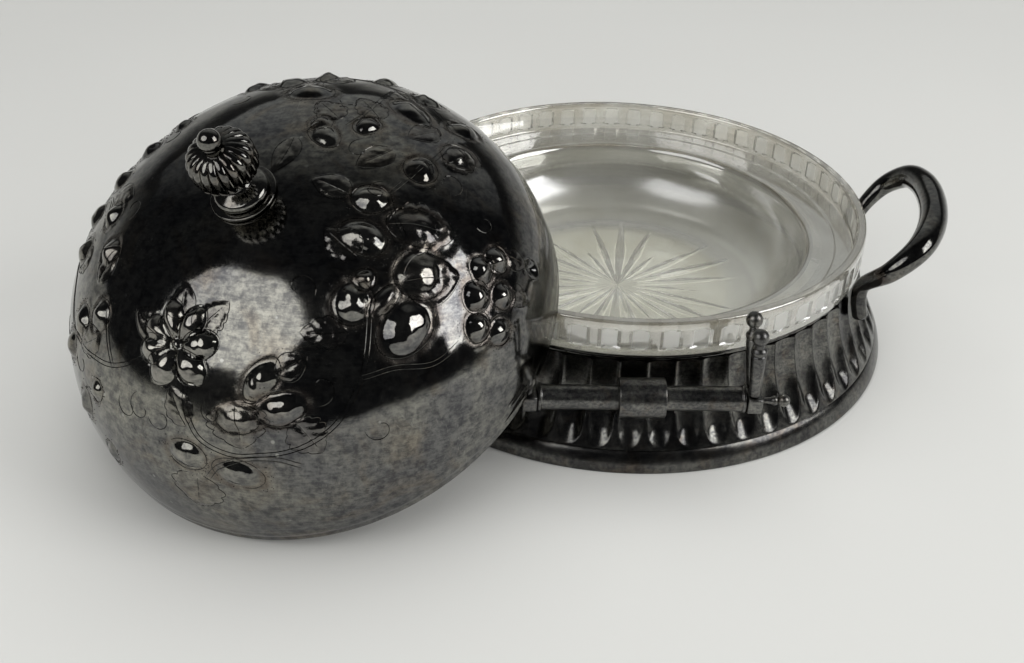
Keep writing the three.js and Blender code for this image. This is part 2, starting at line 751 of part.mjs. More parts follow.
function melonRing(turn) {
  const r = MELON_RADIUS * Math.cos(rad(turn));
  const z = MELON_RISE + MELON_HALF_HEIGHT * Math.sin(rad(turn));
  return Array.from({ length: MELON_LOBES * 2 }, (_, i) => {
    const angle = (i / MELON_LOBES) * Math.PI;
    const out = r * (i % 2 ? 0.9 : 1);
    return new THREE.Vector3(out * Math.cos(angle), out * Math.sin(angle), z);
  });
}
const melon = solid(loft([-68, -45, -20, 5, 30, 52, 68].map(melonRing)));
knob.add(piece("knob_melon", geometryOf(melon.subtract(studHole(0, MELON_TOP + 2)))));

const BALL_BOTTOM = MELON_RISE + MELON_HALF_HEIGHT * Math.sin(rad(68)) + FIT;
const ball = solid(
  turned(
    [
      [0, BALL_BOTTOM],
      [0.8 * KNOB_BALL_RADIUS, BALL_BOTTOM],
      [0.65 * KNOB_BALL_RADIUS, BALL_BOTTOM + 0.5],
      ...[-35, -12, 12, 38, 64].map((turn) => [
        KNOB_BALL_RADIUS * Math.cos(rad(turn)),
        KNOB_BALL_RISE + KNOB_BALL_RADIUS * Math.sin(rad(turn)),
      ]),
      [0, KNOB_BALL_RISE + KNOB_BALL_RADIUS],
    ],
    16,
  ),
);
knob.add(piece("knob_ball", geometryOf(ball.subtract(studHole(0, KNOB_BALL_RISE + 0.4)))));

// Stud, washer and nut that hold the knob, inside the crown
const WASHER_TOP = -DOME_WALL - FIT - 0.25;
const STUD_BOTTOM = WASHER_TOP - 5;
knob.add(
  piece(
    "knob_washer",
    turned([[BORE, WASHER_TOP - 0.8], [6, WASHER_TOP - 0.8], [6, WASHER_TOP], [BORE, WASHER_TOP]], 24),
  ),
);
knob.add(
  piece(
    "knob_nut",
    turned(
      [
        [BORE, WASHER_TOP - 3.9],
        [4, WASHER_TOP - 3.9],
        [4, WASHER_TOP - 0.8 - FIT],
        [BORE, WASHER_TOP - 0.8 - FIT],
      ],
      6,
    ),
  ),
);
knob.add(
  piece(
    "knob_stud",
    turned(
      [
        [0, STUD_BOTTOM],
        [STUD_RADIUS, STUD_BOTTOM],
        [STUD_RADIUS, KNOB_BALL_RISE],
        [0, KNOB_BALL_RISE],
      ],
      16,
    ),
  ),
);

dome.applyMatrix4(domePlace);

// The whole object, its origin under the middle of its bounding box

const group = new THREE.Group();
group.add(dish, liner, dome);
group.updateMatrixWorld(true);
const bounds = new THREE.Box3().setFromObject(group, true);
const middle = bounds.getCenter(new THREE.Vector3());
group.children.forEach((part) => part.position.sub(new THREE.Vector3(middle.x, middle.y, bounds.min.z)));

export default group;
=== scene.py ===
import math

import bpy
import numpy as np
from mathutils import Matrix, Quaternion, Vector


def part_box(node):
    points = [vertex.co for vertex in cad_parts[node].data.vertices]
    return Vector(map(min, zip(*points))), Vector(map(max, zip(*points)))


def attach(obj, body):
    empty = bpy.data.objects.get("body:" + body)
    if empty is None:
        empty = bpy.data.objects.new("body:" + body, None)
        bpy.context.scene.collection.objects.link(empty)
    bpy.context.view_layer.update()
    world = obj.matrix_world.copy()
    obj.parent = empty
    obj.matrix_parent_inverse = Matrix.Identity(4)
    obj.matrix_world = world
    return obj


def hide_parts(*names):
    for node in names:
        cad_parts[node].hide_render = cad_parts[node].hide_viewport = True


bl_info = {
    "name": "Cheese Dome",
    "version": (1, 0, 0),
    "blender": (4, 5, 0),
    "location": "View3D > Sidebar > Cheese Dome",
    "description": "Dresses a covered cheese dish: fluted base, glass liner, raised-fruit cover",
    "category": "Object",
}

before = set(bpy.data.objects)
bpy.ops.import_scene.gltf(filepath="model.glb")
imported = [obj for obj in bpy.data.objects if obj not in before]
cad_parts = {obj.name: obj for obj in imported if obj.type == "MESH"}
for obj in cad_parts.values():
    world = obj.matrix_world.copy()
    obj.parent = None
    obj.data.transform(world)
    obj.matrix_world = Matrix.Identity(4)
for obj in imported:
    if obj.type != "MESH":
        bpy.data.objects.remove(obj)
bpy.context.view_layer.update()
MM = 0.001
FOOT_LOW, FOOT_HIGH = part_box("foot_band")
DISH = Vector(((FOOT_LOW.x + FOOT_HIGH.x) / 2, (FOOT_LOW.y + FOOT_HIGH.y) / 2, 0))


def place(origin, x=(1, 0, 0), y=(0, 1, 0), z=(0, 0, 1)):
    """Turns local millimetres along these axes into the row frame, in metres."""
    matrix = Matrix((x, y, z)).transposed().to_4x4() @ Matrix.Scale(MM, 4)
    matrix.translation = origin
    return matrix


DISH_PLACE = place(DISH)


# Meshes


def mesh_of(name, verts, faces):
    mesh = bpy.data.meshes.new(name)
    mesh.from_pydata([tuple(v) for v in verts], [], faces)
    mesh.update()
    return mesh


def set_values(mesh, name, values):
    attribute = mesh.attributes.new(name, "FLOAT", "POINT")
    attribute.data.foreach_set("value", np.asarray(values, np.float32))


def face_out(mesh):
    """Flips the mesh if it holds a negative volume."""
    spots = np.empty(len(mesh.vertices) * 3)
    mesh.vertices.foreach_get("co", spots)
    mesh.calc_loop_triangles()
    corners = np.empty(len(mesh.loop_triangles) * 3, np.int32)
    mesh.loop_triangles.foreach_get("vertices", corners)
    a, b, c = spots.reshape(-1, 3)[corners.reshape(-1, 3).T]
    if np.einsum("ij,ij->i", a, np.cross(b, c)).sum() < 0:
        mesh.flip_normals()


def smooth(mesh, sharp):
    mesh.polygons.foreach_set("use_smooth", [True] * len(mesh.polygons))
    mesh.set_sharp_from_angle(angle=math.radians(sharp))


def turns(count):
    return np.arange(count) * 2 * math.pi / count


def around(radius, angle, height):
    """Points at these angles; the radius and the height may change from one to the next."""
    return np.stack([radius * np.cos(angle), radius * np.sin(angle), height + 0 * angle], 1)


def circle(radius, height, columns):
    return around(radius, turns(columns), height)


def grid(rows):
    """Verts and faces of a strip of rows, the last row joined to the first."""
    n = len(rows[0])
    faces = []
    for i in range(len(rows)):
        k = (i + 1) % len(rows)
        faces += [(i * n + j, i * n + j + 1, k * n + j + 1, k * n + j) for j in range(n - 1)]
    return np.concatenate(rows), faces


def skin(rings, loop=False):
    """Verts and faces between rings of points; a ring of one point is a pole, and a ring may have
    half or twice the points of its neighbour."""
    starts = np.cumsum([0] + [len(ring) for ring in rings]).tolist()
    faces = []
    for i in range(len(rings) if loop else len(rings) - 1):
        k = (i + 1) % len(rings)
        p, q, n, m = starts[i], starts[k], len(rings[i]), len(rings[k])
        if n == m:
            faces += [(p + j, p + (j + 1) % n, q + (j + 1) % n, q + j) for j in range(n)]
        elif n == 1:
            faces += [(p, q + (j + 1) % m, q + j) for j in range(m)]
        elif m == 1:
            faces += [(p + j, p + (j + 1) % n, q) for j in range(n)]
        else:
            many, few, count, step = (p, q, m, 1) if n > m else (q, p, n, -1)
            for j in range(count):
                odd, after = many + 2 * j + 1, many + (2 * j + 2) % (2 * count)
                here, there = few + j, few + (j + 1) % count
                fan = (odd - 1, odd, here), (odd, there, here), (odd, after, there)
                faces += [face[::step] for face in fan]
    return [tuple(point) for ring in rings for point in ring], faces


def softened(points, cut, loop=True, steps=3):
    """The profile with each corner rounded, starting cut mm before it."""
    pts = [Vector(p) for p in points]
    out = []
    for i, p in enumerate(pts):
        a, b = pts[i - 1] - p, pts[(i + 1) % len(pts)] - p
        d = min(cut, 0.45 * a.length, 0.45 * b.length)
        is_end = not loop and i in (0, len(pts) - 1)
        if is_end or d < 1e-4 or a.angle(b) > math.radians(168):
            out.append(p)
            continue
        start, end = p + a.normalized() * d, p + b.normalized() * d
        for t in np.arange(steps + 1) / steps:
            out.append(start * (1 - t) ** 2 + p * 2 * t * (1 - t) + end * t * t)
    return [(v.x, v.y) for v in out]


def revolved(profile, columns, loop=True):
    """A profile of (radius, height) turned about +Z; radius 0 is a pole."""
    rings = [circle(r, z, columns) if r > 1e-6 else [(0.0, 0.0, z)] for r, z in profile]
    return skin(rings, loop)


def bezier(points, count):
    t = np.linspace(0, 1, count)[:, None]
    a, b, c, d = (np.array(p, float) for p in points)
    return (1 - t) ** 3 * a + 3 * t * (1 - t) ** 2 * b + 3 * t * t * (1 - t) * c + t**3 * d


def centripetal(points, per_span):
    """A centripetal Catmull-Rom curve through the points."""
    pts = [Vector(p) for p in points]
    pts = [2 * pts[0] - pts[1]] + pts + [2 * pts[-1] - pts[-2]]
    spans = len(pts) - 3
    out = []
    for i in range(spans):
        p0, p1, p2, p3 = pts[i : i + 4]
        t0 = 0.0
        t1 = t0 + (p1 - p0).length ** 0.5
        t2 = t1 + (p2 - p1).length ** 0.5
        t3 = t2 + (p3 - p2).length ** 0.5
        for k in range(per_span + (i == spans - 1)):
            t = t1 + (t2 - t1) * k / per_span
            a1 = p0.lerp(p1, (t - t0) / (t1 - t0))
            a2 = p1.lerp(p2, (t - t1) / (t2 - t1))
            a3 = p2.lerp(p3, (t - t2) / (t3 - t2))
            b1 = a1.lerp(a2, (t - t0) / (t2 - t0))
            b2 = a2.lerp(a3, (t - t1) / (t3 - t1))
            out.append(b1.lerp(b2, (t - t1) / (t2 - t1)))
    return out


def smooth_profile(points, per_span):
    """A curve through (radius, height) points, as such points."""
    return [(v.x, v.y) for v in centripetal([(r, z, 0) for r, z in points], per_span)]


def eased(t):
    return t * t * (3 - 2 * t)


def add_piece(name, shape, matrix, body, nodes, material, sharp=60):
    """One finished piece from (verts, faces) or a mesh in local millimetres."""
    mesh = shape if isinstance(shape, bpy.types.Mesh) else mesh_of(name, *shape)
    mesh.name = name
    mesh.transform(matrix)
    face_out(mesh)
    smooth(mesh, sharp)
    mesh.materials.clear()
    mesh.materials.append(material)
    piece = bpy.data.objects.new(name, mesh)
    bpy.context.scene.collection.objects.link(piece)
    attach(piece, body)
    if nodes:
        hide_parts(*nodes)


# Node trees


class Wiring:
    """Adds nodes to a tree. An input is given a value or a socket to link, and what comes back is
    an output socket of the new node."""

    def __init__(self, tree):
        self.tree = tree

    def feed(self, node, inputs):
        for key, value in inputs.items():
            if isinstance(value, bpy.types.NodeSocket):
                self.tree.links.new(value, node.inputs[key])
            else:
                node.inputs[key].default_value = value

    def node(self, kind, inputs=None, output=0, **settings):
        node = self.tree.nodes.new(kind)
        for name, value in settings.items():
            setattr(node, name, value)
        self.feed(node, inputs or {})
        return node.outputs[output]

    def group(self, group, inputs):
        """The outputs of a placed shader node group."""
        return self.node("ShaderNodeGroup", inputs, node_tree=group).node.outputs

    def math(self, operation, *values):
        return self.node("ShaderNodeMath", dict(enumerate(values)), operation=operation)

    def times(self, a, b):
        return self.math("MULTIPLY", a, b)

    def ramp(self, value, low, high, low_to=0.0, high_to=1.0):
        inputs = {0: value, 1: low, 2: high, 3: low_to, 4: high_to}
        return self.node("ShaderNodeMapRange", inputs, interpolation_type="SMOOTHSTEP")

    def mix(self, factor, a, b, blend="MIX"):
        inputs = {0: factor, 6: a, 7: b}
        return self.node("ShaderNodeMix", inputs, 2, data_type="RGBA", blend_type=blend)

    def noise(self, vector, scale, detail=4.0, roughness=0.55, distortion=0.0):
        inputs = {"Vector": vector, "Scale": scale, "Detail": detail, "Roughness": roughness}
        return self.node("ShaderNodeTexNoise", {**inputs, "Distortion": distortion}, "Fac")

    def cells(self, vector, scale):
        return self.node("ShaderNodeTexVoronoi", {"Vector": vector, "Scale": scale}).node.outputs

    def stretched(self, vector, scale, turn):
        inputs = {"Vector": vector, "Scale": scale, "Rotation": turn}
        return self.node("ShaderNodeMapping", inputs)

    def bump(self, height, strength, distance):
        inputs = {"Height": height, "Strength": strength, "Distance": distance}
        return self.node("ShaderNodeBump", inputs)

    def attribute(self, name):
        return self.node("ShaderNodeAttribute", output="Fac", attribute_name=name)

    def where(self):
        return self.node("ShaderNodeTexCoord", output="Object")


def new_group(name, kind, inputs, outputs):
    """An empty group: its wiring, the sockets it is given and the node for its results."""
    group = bpy.data.node_groups.new(name, kind)
    for label, socket, *default in inputs:
        made = group.interface.new_socket(label, in_out="INPUT", socket_type="NodeSocket" + socket)
        if default:
            made.default_value = default[0]
    for label, socket in outputs:
        group.interface.new_socket(label, in_out="OUTPUT", socket_type="NodeSocket" + socket)
    given, result = group.nodes.new("NodeGroupInput"), group.nodes.new("NodeGroupOutput")
    return Wiring(group), given.outputs, result


def copies_round(w, given):
    """Copies of the geometry round +Z, joined where they touch."""
    step = w.math("DIVIDE", 2 * math.pi, given["Count"])
    index = w.node("GeometryNodeInputIndex")
    turn = w.math("MULTIPLY_ADD", index, step, given["Start"])
    inputs = {
        "Points": w.node("GeometryNodePoints", {"Count": given["Count"]}),
        "Instance": given["Geometry"],
        "Rotation": w.node("ShaderNodeCombineXYZ", {"Z": turn}),
    }
    copies = w.node("GeometryNodeInstanceOnPoints", inputs)
    real = w.node("GeometryNodeRealizeInstances", {0: copies})
    inputs = {"Geometry": real, "Distance": given["Join Distance"]}
    return w.node("GeometryNodeMergeByDistance", inputs)


def bar_along(w, given):
    """A round bar along the geometry's edges, as thick as their attribute "thickness" says."""
    inputs = {"Resolution": given["Sides"], "Radius": 1.0}
    section = w.node("GeometryNodeCurvePrimitiveCircle", inputs)
    thick = w.node("GeometryNodeInputNamedAttribute", {"Name": "thickness"}, data_type="FLOAT")
    inputs = {
        "Curve": w.node("GeometryNodeMeshToCurve", {0: given["Geometry"]}),
        "Profile Curve": section,
        "Scale": thick,
        "Fill Caps": True,
    }
    return w.node("GeometryNodeRealizeInstances", {0: w.node("GeometryNodeCurveToMesh", inputs)})


def ball_at_points(w, given):
    """A small ball at each point."""
    ball = w.node("GeometryNodeMeshIcoSphere", {"Radius": given["Radius"], "Subdivisions": 1})
    points = w.node("GeometryNodeMeshToPoints", {0: given["Geometry"]})
    copies = w.node("GeometryNodeInstanceOnPoints", {"Points": points, "Instance": ball})
    return w.node("GeometryNodeRealizeInstances", {0: copies})


GEOMETRY_GROUPS = {
    "Copies round an axis": (
        copies_round, [("Count", "Int"), ("Start", "Float"), ("Join Distance", "Float")],
    ),
    "Bar along a path": (bar_along, [("Sides", "Int")]),
    "Dots on points": (ball_at_points, [("Radius", "Float")]),
}


def geometry_group(name):
    """The Geometry Nodes group of this name, built at its first use."""
    if name in bpy.data.node_groups:
        return bpy.data.node_groups[name]
    build, inputs = GEOMETRY_GROUPS[name]
    geometry = [("Geometry", "Geometry")]
    inputs = geometry + inputs + [("Material", "Material")]
    w, given, result = new_group(name, "GeometryNodeTree", inputs, geometry)
    made = {"Geometry": build(w, given), "Material": given["Material"]}
    w.feed(result, {0: w.node("GeometryNodeSetMaterial", made)})
    return w.tree


def made_by(group_name, mesh, values):
    """A plain mesh: what the group makes of this mesh."""
    group = geometry_group(group_name)
    source = bpy.data.objects.new("source", mesh)
    bpy.context.scene.collection.objects.link(source)
    modifier = source.modifiers.new("tree", "NODES")
    modifier.node_group = group
    sockets = {s.name: s.identifier for s in group.interface.items_tree if s.in_out == "INPUT"}
    for label, value in values.items():
        modifier[sockets[label]] = value
    shown = source.evaluated_get(bpy.context.evaluated_depsgraph_get())
    made = bpy.data.meshes.new_from_object(shown)
    source.modifiers.remove(modifier)
    bpy.data.objects.remove(source)
    return made


def ring_of(mesh, count, material, start=0.0):
    """The mesh of one sector, copied round the axis."""
    values = {"Count": count, "Start": start, "Join Distance": 0.002, "Material": material}
    return made_by("Copies round an axis", mesh, values)


def bars_along(paths, material, sides):
    """One mesh of round bars; each path is a list of (point, thickness)."""
    verts, edges, thick = [], [], []
    for path in paths:
        edges += [(len(verts) + i, len(verts) + i + 1) for i in range(len(path) - 1)]
        verts += [tuple(p) for p, _ in path]
        thick += [t for _, t in path]
    mesh = bpy.data.meshes.new("paths")
    mesh.from_pydata(verts, edges, [])
    set_values(mesh, "thickness", thick)
    return made_by("Bar along a path", mesh, {"Sides": sides, "Material": material})


def dots_at(points, radius, material):
    mesh = mesh_of("points", points, [])
    return made_by("Dots on points", mesh, {"Radius": radius, "Material": material})


def tarnish_group(name):
    """Silver plate gone dark: blotches from black to grey to warm brown, with worn spots."""
    w, given, result = new_group(
        name,
        "ShaderNodeTree",
        [
            ("Vector", "Vector"),
            ("Blotch Scale", "Float", 40.0),
            ("Dark", "Color", (0.03, 0.03, 0.032, 1)),
            ("Grey", "Color", (0.12, 0.12, 0.115, 1)),
            ("Brown", "Color", (0.11, 0.07, 0.045, 1)),
            ("Worn", "Color", (0.5, 0.47, 0.42, 1)),
            ("Brown Amount", "Float", 0.5),
            ("Wear", "Float", 0.0),
        ],
        [("Color", "Color"), ("Roughness", "Float"), ("Height", "Float")],
    )
    where, scale = given["Vector"], given["Blotch Scale"]
    broad = w.noise(where, scale, 6.0, 0.62, 0.4)
    fine = w.noise(where, w.times(scale, 12.0), 5.0, 0.7, 0.2)
    warm = w.noise(where, w.times(scale, 1.7), 4.0, 0.6, 1.2)
    grain = w.noise(where, 2600.0, 3.0, 0.6)
    drawn = w.noise(w.stretched(where, (210, 700, 1500), (0.1, 0.2, 0.15)), 1.0, 4.0, 0.65)
    grey = w.mix(w.ramp(broad, 0.36, 0.66), given["Dark"], given["Grey"])
    brown = w.times(w.ramp(warm, 0.5, 0.7), given["Brown Amount"])
    coloured = w.mix(brown, grey, given["Brown"])
    speckle = w.ramp(w.math("MULTIPLY_ADD", drawn, 0.3, w.times(fine, 0.7)), 0.34, 0.66)
    speckled = w.mix(speckle, (0.5, 0.5, 0.52, 1), (1.5, 1.48, 1.37, 1))
    mottled = w.mix(1.0, coloured, speckled, "MULTIPLY")
    worn = w.times(given["Wear"], w.ramp(fine, 0.35, 0.6, 0.55, 1.0))
    broad_rough = w.ramp(broad, 0.3, 0.7, 0.045, 0.11)
    grain_rough = w.ramp(grain, 0.4, 0.75, 0.0, 0.03)
    w.feed(result, {
        "Color": w.mix(worn, mottled, given["Worn"]),
        "Roughness": w.math("ADD", broad_rough, grain_rough),
        "Height": w.math("ADD", fine, w.times(grain, 0.4)),
    })
    return w.tree


def scratches_group(name):
    """Hairlines in two crossing directions, from noise drawn out along them."""
    inputs = [("Vector", "Vector"), ("Amount", "Float", 0.5)]
    w, given, result = new_group(name, "ShaderNodeTree", inputs, [("Mask", "Float")])
    where = given["Vector"]
    masks = []
    for turn, stretch in (((0.3, 0.2, 0.5), (3200, 60, 420)), ((1.1, 0.7, -0.8), (75, 3600, 500))):
        lines = w.noise(w.stretched(where, stretch, turn), 1.0, 1.0, 0.5)
        masks.append(w.ramp(lines, 0.66, 0.74))
    patchy = w.ramp(w.noise(where, 45.0, 2.0), 0.5, 0.68)
    both = w.times(w.math("MAXIMUM", *masks), patchy)
    w.feed(result, {"Mask": w.times(both, given["Amount"])})
    return w.tree


def shader_group(name, build):
    """The shader node group of this name, built at its first use."""
    return bpy.data.node_groups.get(name) or build(name)


# Materials


def new_material(name):
    """A material, its wiring and its Principled shader."""
    material = bpy.data.materials.new(name)
    material.use_nodes = True
    return material, Wiring(material.node_tree), material.node_tree.nodes["Principled BSDF"]


PLATE = {
    "Blotch Scale": 55.0,
    "Dark": (0.07, 0.07, 0.072, 1),
    "Grey": (0.16, 0.16, 0.155, 1),
    "Brown": (0.12, 0.09, 0.068, 1),
    "Brown Amount": 0.35,
    "Wear": 0.0,
    "Scratches": 0.2,
    "Bump": 0.06,
    "Dull": 0.0,
}
PLATES = {  # what is different from PLATE; Clean is how clean the inside is
    "dish_plate": {"Dark": (0.063, 0.063, 0.065, 1), "Grey": (0.146, 0.146, 0.142, 1)},
    "skirt_plate": {"Dull": 0.12, "Blotch Scale": 80.0, "Clean": 0.9},
    "foot_plate": {"Dark": (0.06, 0.06, 0.062, 1), "Grey": (0.13, 0.13, 0.128, 1), "Dull": 0.14},
    "rest_plate": {
        "Dark": (0.1, 0.1, 0.103, 1), "Grey": (0.2, 0.2, 0.196, 1), "Dull": 0.24,
        "Blotch Scale": 90.0, "Bump": 0.12,
    },
    "knob_plate": {"Wear": 0.1, "Scratches": 0.15, "Blotch Scale": 90.0},
    "dome_plate": {
        "Blotch Scale": 34.0, "Dark": (0.115, 0.116, 0.122, 1), "Grey": (0.2, 0.198, 0.186, 1),
        "Brown": (0.16, 0.13, 0.1, 1), "Brown Amount": 0.4, "Scratches": 0.35, "Wear": 0.35,
        "Bump": 0.05,
    },
    "chased_line": {"Dark": (0.02, 0.02, 0.02, 1), "Grey": (0.07, 0.07, 0.068, 1)},
}


def plate(name):
    """The tarnished silver plate of this name, made at its first use."""
    return bpy.data.materials.get(name) or new_plate(name, {**PLATE, **PLATES[name]})


def new_plate(name, looks):
    """With relief, on the dome, it is worn bright on high places and dull in the ground."""
    relief = name == "dome_plate"
    material, w, shader = new_material(name)
    where = w.where()
    wear = w.ramp(w.attribute("relief"), 0.5, 2.2, 0.0, looks["Wear"]) if relief else looks["Wear"]
    inputs = {k: looks[k] for k in ("Blotch Scale", "Dark", "Grey", "Brown", "Brown Amount")}
    tarnish = shader_group("Tarnish", tarnish_group)
    tarnish = w.group(tarnish, {**inputs, "Vector": where, "Wear": wear})
    scratches = shader_group("Hairline scratches", scratches_group)
    scratched = w.group(scratches, {"Vector": where, "Amount": looks["Scratches"]})["Mask"]
    colour = w.mix(scratched, tarnish["Color"], (0.36, 0.35, 0.32, 1))
    rough = w.math("ADD", tarnish["Roughness"], looks["Dull"])
    rough = w.math("MULTIPLY_ADD", scratched, 0.15, rough)
    height = tarnish["Height"]
    if relief:
        # warm lacquer colour and fine pits in the ground round the raised work, and pale spots
        matting = w.attribute("matting")
        colour = w.mix(w.times(matting, 0.4), colour, (0.12, 0.09, 0.065, 1))
        cells = w.cells(where, 190.0)
        spot = w.times(w.ramp(cells["Distance"], 0.13, 0.06), w.ramp(cells["Color"], 0.6, 0.62))
        colour = w.mix(w.times(spot, 0.55), colour, (0.42, 0.42, 0.39, 1))
        pits = w.times(w.ramp(w.cells(where, 1500.0)["Distance"], 0.1, 0.5), matting)
        height = w.math("MULTIPLY_ADD", pits, 3.0, height)
        rough = w.math("MULTIPLY_ADD", matting, 0.18, rough)
    if "Clean" in looks:
        clean = w.times(w.attribute("inside"), looks["Clean"])
        colour = w.mix(clean, colour, (0.62, 0.61, 0.57, 1))
    w.feed(shader, {
        "Metallic": 1.0,
        "Base Color": colour,
        "Roughness": rough,
        "Normal": w.bump(height, looks["Bump"], 0.0002),
    })
    return material


def glass_material():
    material, w, shader = new_material("pressed_glass")
    where = w.where()
    haze, dust = w.noise(where, 60.0, 5.0, 0.6), w.noise(where, 700.0, 3.0, 0.6)
    frost, satin = w.attribute("frost"), w.attribute("satin")
    tint = w.mix(w.ramp(haze, 0.35, 0.7), (0.92, 0.915, 0.85, 1), (0.82, 0.81, 0.73, 1))
    tint = w.mix(frost, tint, (1, 1, 0.98, 1))
    # browner and darker where the liner's attribute says: in the two inner corners, on the lip, on
    # the ledge and between the rim blocks
    brown_darkening = w.times(w.attribute("brown_darkening"), w.ramp(haze, 0.35, 0.6, 0.3, 0.9))
    rough = w.math("ADD", w.ramp(haze, 0.35, 0.7, 0.02, 0.07), w.ramp(dust, 0.6, 0.8, 0.0, 0.1))
    rough = w.math("MULTIPLY_ADD", frost, 0.26, rough)
    w.feed(shader, {
        "Transmission Weight": 0.88,
        "IOR": 1.5,
        "Coat IOR": 2.7,
        # the flat floor mirrors less than the bowl and the rim
        "Coat Weight": w.math("MULTIPLY_ADD", w.attribute("level"), -0.85, 1.0),
        "Coat Roughness": w.math("MULTIPLY_ADD", satin, 0.2, 0.05),
        "Base Color": w.mix(brown_darkening, tint, (0.34, 0.27, 0.17, 1)),
        "Roughness": w.math("MULTIPLY_ADD", satin, 0.1, rough),
        "Normal": w.bump(w.noise(where, 90.0, 2.0, 0.5), 0.15, 0.0008),
    })
    # in shadows it is clear, so light comes through
    shadow = w.node("ShaderNodeLightPath", output="Is Shadow Ray")
    clear = w.node("ShaderNodeBsdfTransparent", {"Color": (0.92, 0.92, 0.89, 1)})
    mixed = w.node("ShaderNodeMixShader", {0: shadow, 1: shader.outputs[0], 2: clear})
    w.feed(w.tree.nodes["Material Output"], {"Surface": mixed})
    return material


def painted_cut_line(name, tone):
    """Nearly opaque rough glass of this tone, for the star's cut lines: at full tone it is painted
    highlight along the cut edges, at low tone it is painted shade in their bottoms.
    """
    material, w, shader = new_material(name)
    cloud = w.noise(w.where(), 260.0, 3.0, 0.6)
    bright, dull = (tone, tone, 0.98 * tone, 1), (0.88 * tone, 0.88 * tone, 0.84 * tone, 1)
    w.feed(shader, {
        "Transmission Weight": 0.05,
        "IOR": 1.5,
        "Base Color": w.mix(w.ramp(cloud, 0.35, 0.65), bright, dull),
        "Roughness": w.ramp(cloud, 0.3, 0.7, 0.25, 0.5),
    })
    return material


# What a user would change


class CheeseDomeDish(bpy.types.PropertyGroup):
    flutes: bpy.props.IntProperty(
        name="Flutes", description="Flutes round the skirt", default=62, min=8, max=120
    )
    flute_depth: bpy.props.FloatProperty(
        name="Flute Depth", description="How deep each flute is", default=1.3 * MM, unit="LENGTH"
    )
    blocks: bpy.props.IntProperty(
        name="Rim Blocks", description="Moulded blocks round the glass rim", default=56, min=8,
        max=120,
    )
    rays: bpy.props.IntProperty(
        name="Star Rays", description="Rays cut under the glass floor", default=24, min=4, max=60
    )


class CheeseDomeCover(bpy.types.PropertyGroup):
    lobes: bpy.props.IntProperty(
        name="Knob Lobes", description="Lobes round the knob", default=20, min=6, max=40
    )
    relief: bpy.props.FloatProperty(
        name="Relief", description="Factor on the height of the raised fruit", default=1.0,
        subtype="FACTOR",
    )


class CheeseDomeStudio(bpy.types.PropertyGroup):
    floor_colour: bpy.props.FloatVectorProperty(
        name="Floor", description="Colour of the floor and backdrop", subtype="COLOR",
        default=(0.63, 0.63, 0.605),
    )
    lamp_strength: bpy.props.FloatProperty(
        name="Lamps", description="Radiance of a lamp at full strength", default=5.0
    )


# Stage

# name, direction from the object, distance, width and height in m, roll, share of full strength
LAMPS = (
    ("window_left", (-0.606, -0.517, 0.605), 1.2, 1.06, 0.82, 0.34, 0.39),
    ("window_right", (0.797, -0.29, 0.53), 1.3, 0.66, 0.8, 0.0, 0.9),
    ("ceiling", (0.1, 0.2, 1.0), 1.6, 2.2, 2.2, 0.0, 0.32),
    ("room", (0.0, -1.0, 0.5), 1.7, 2.4, 1.2, 0.0, 0.3),
)


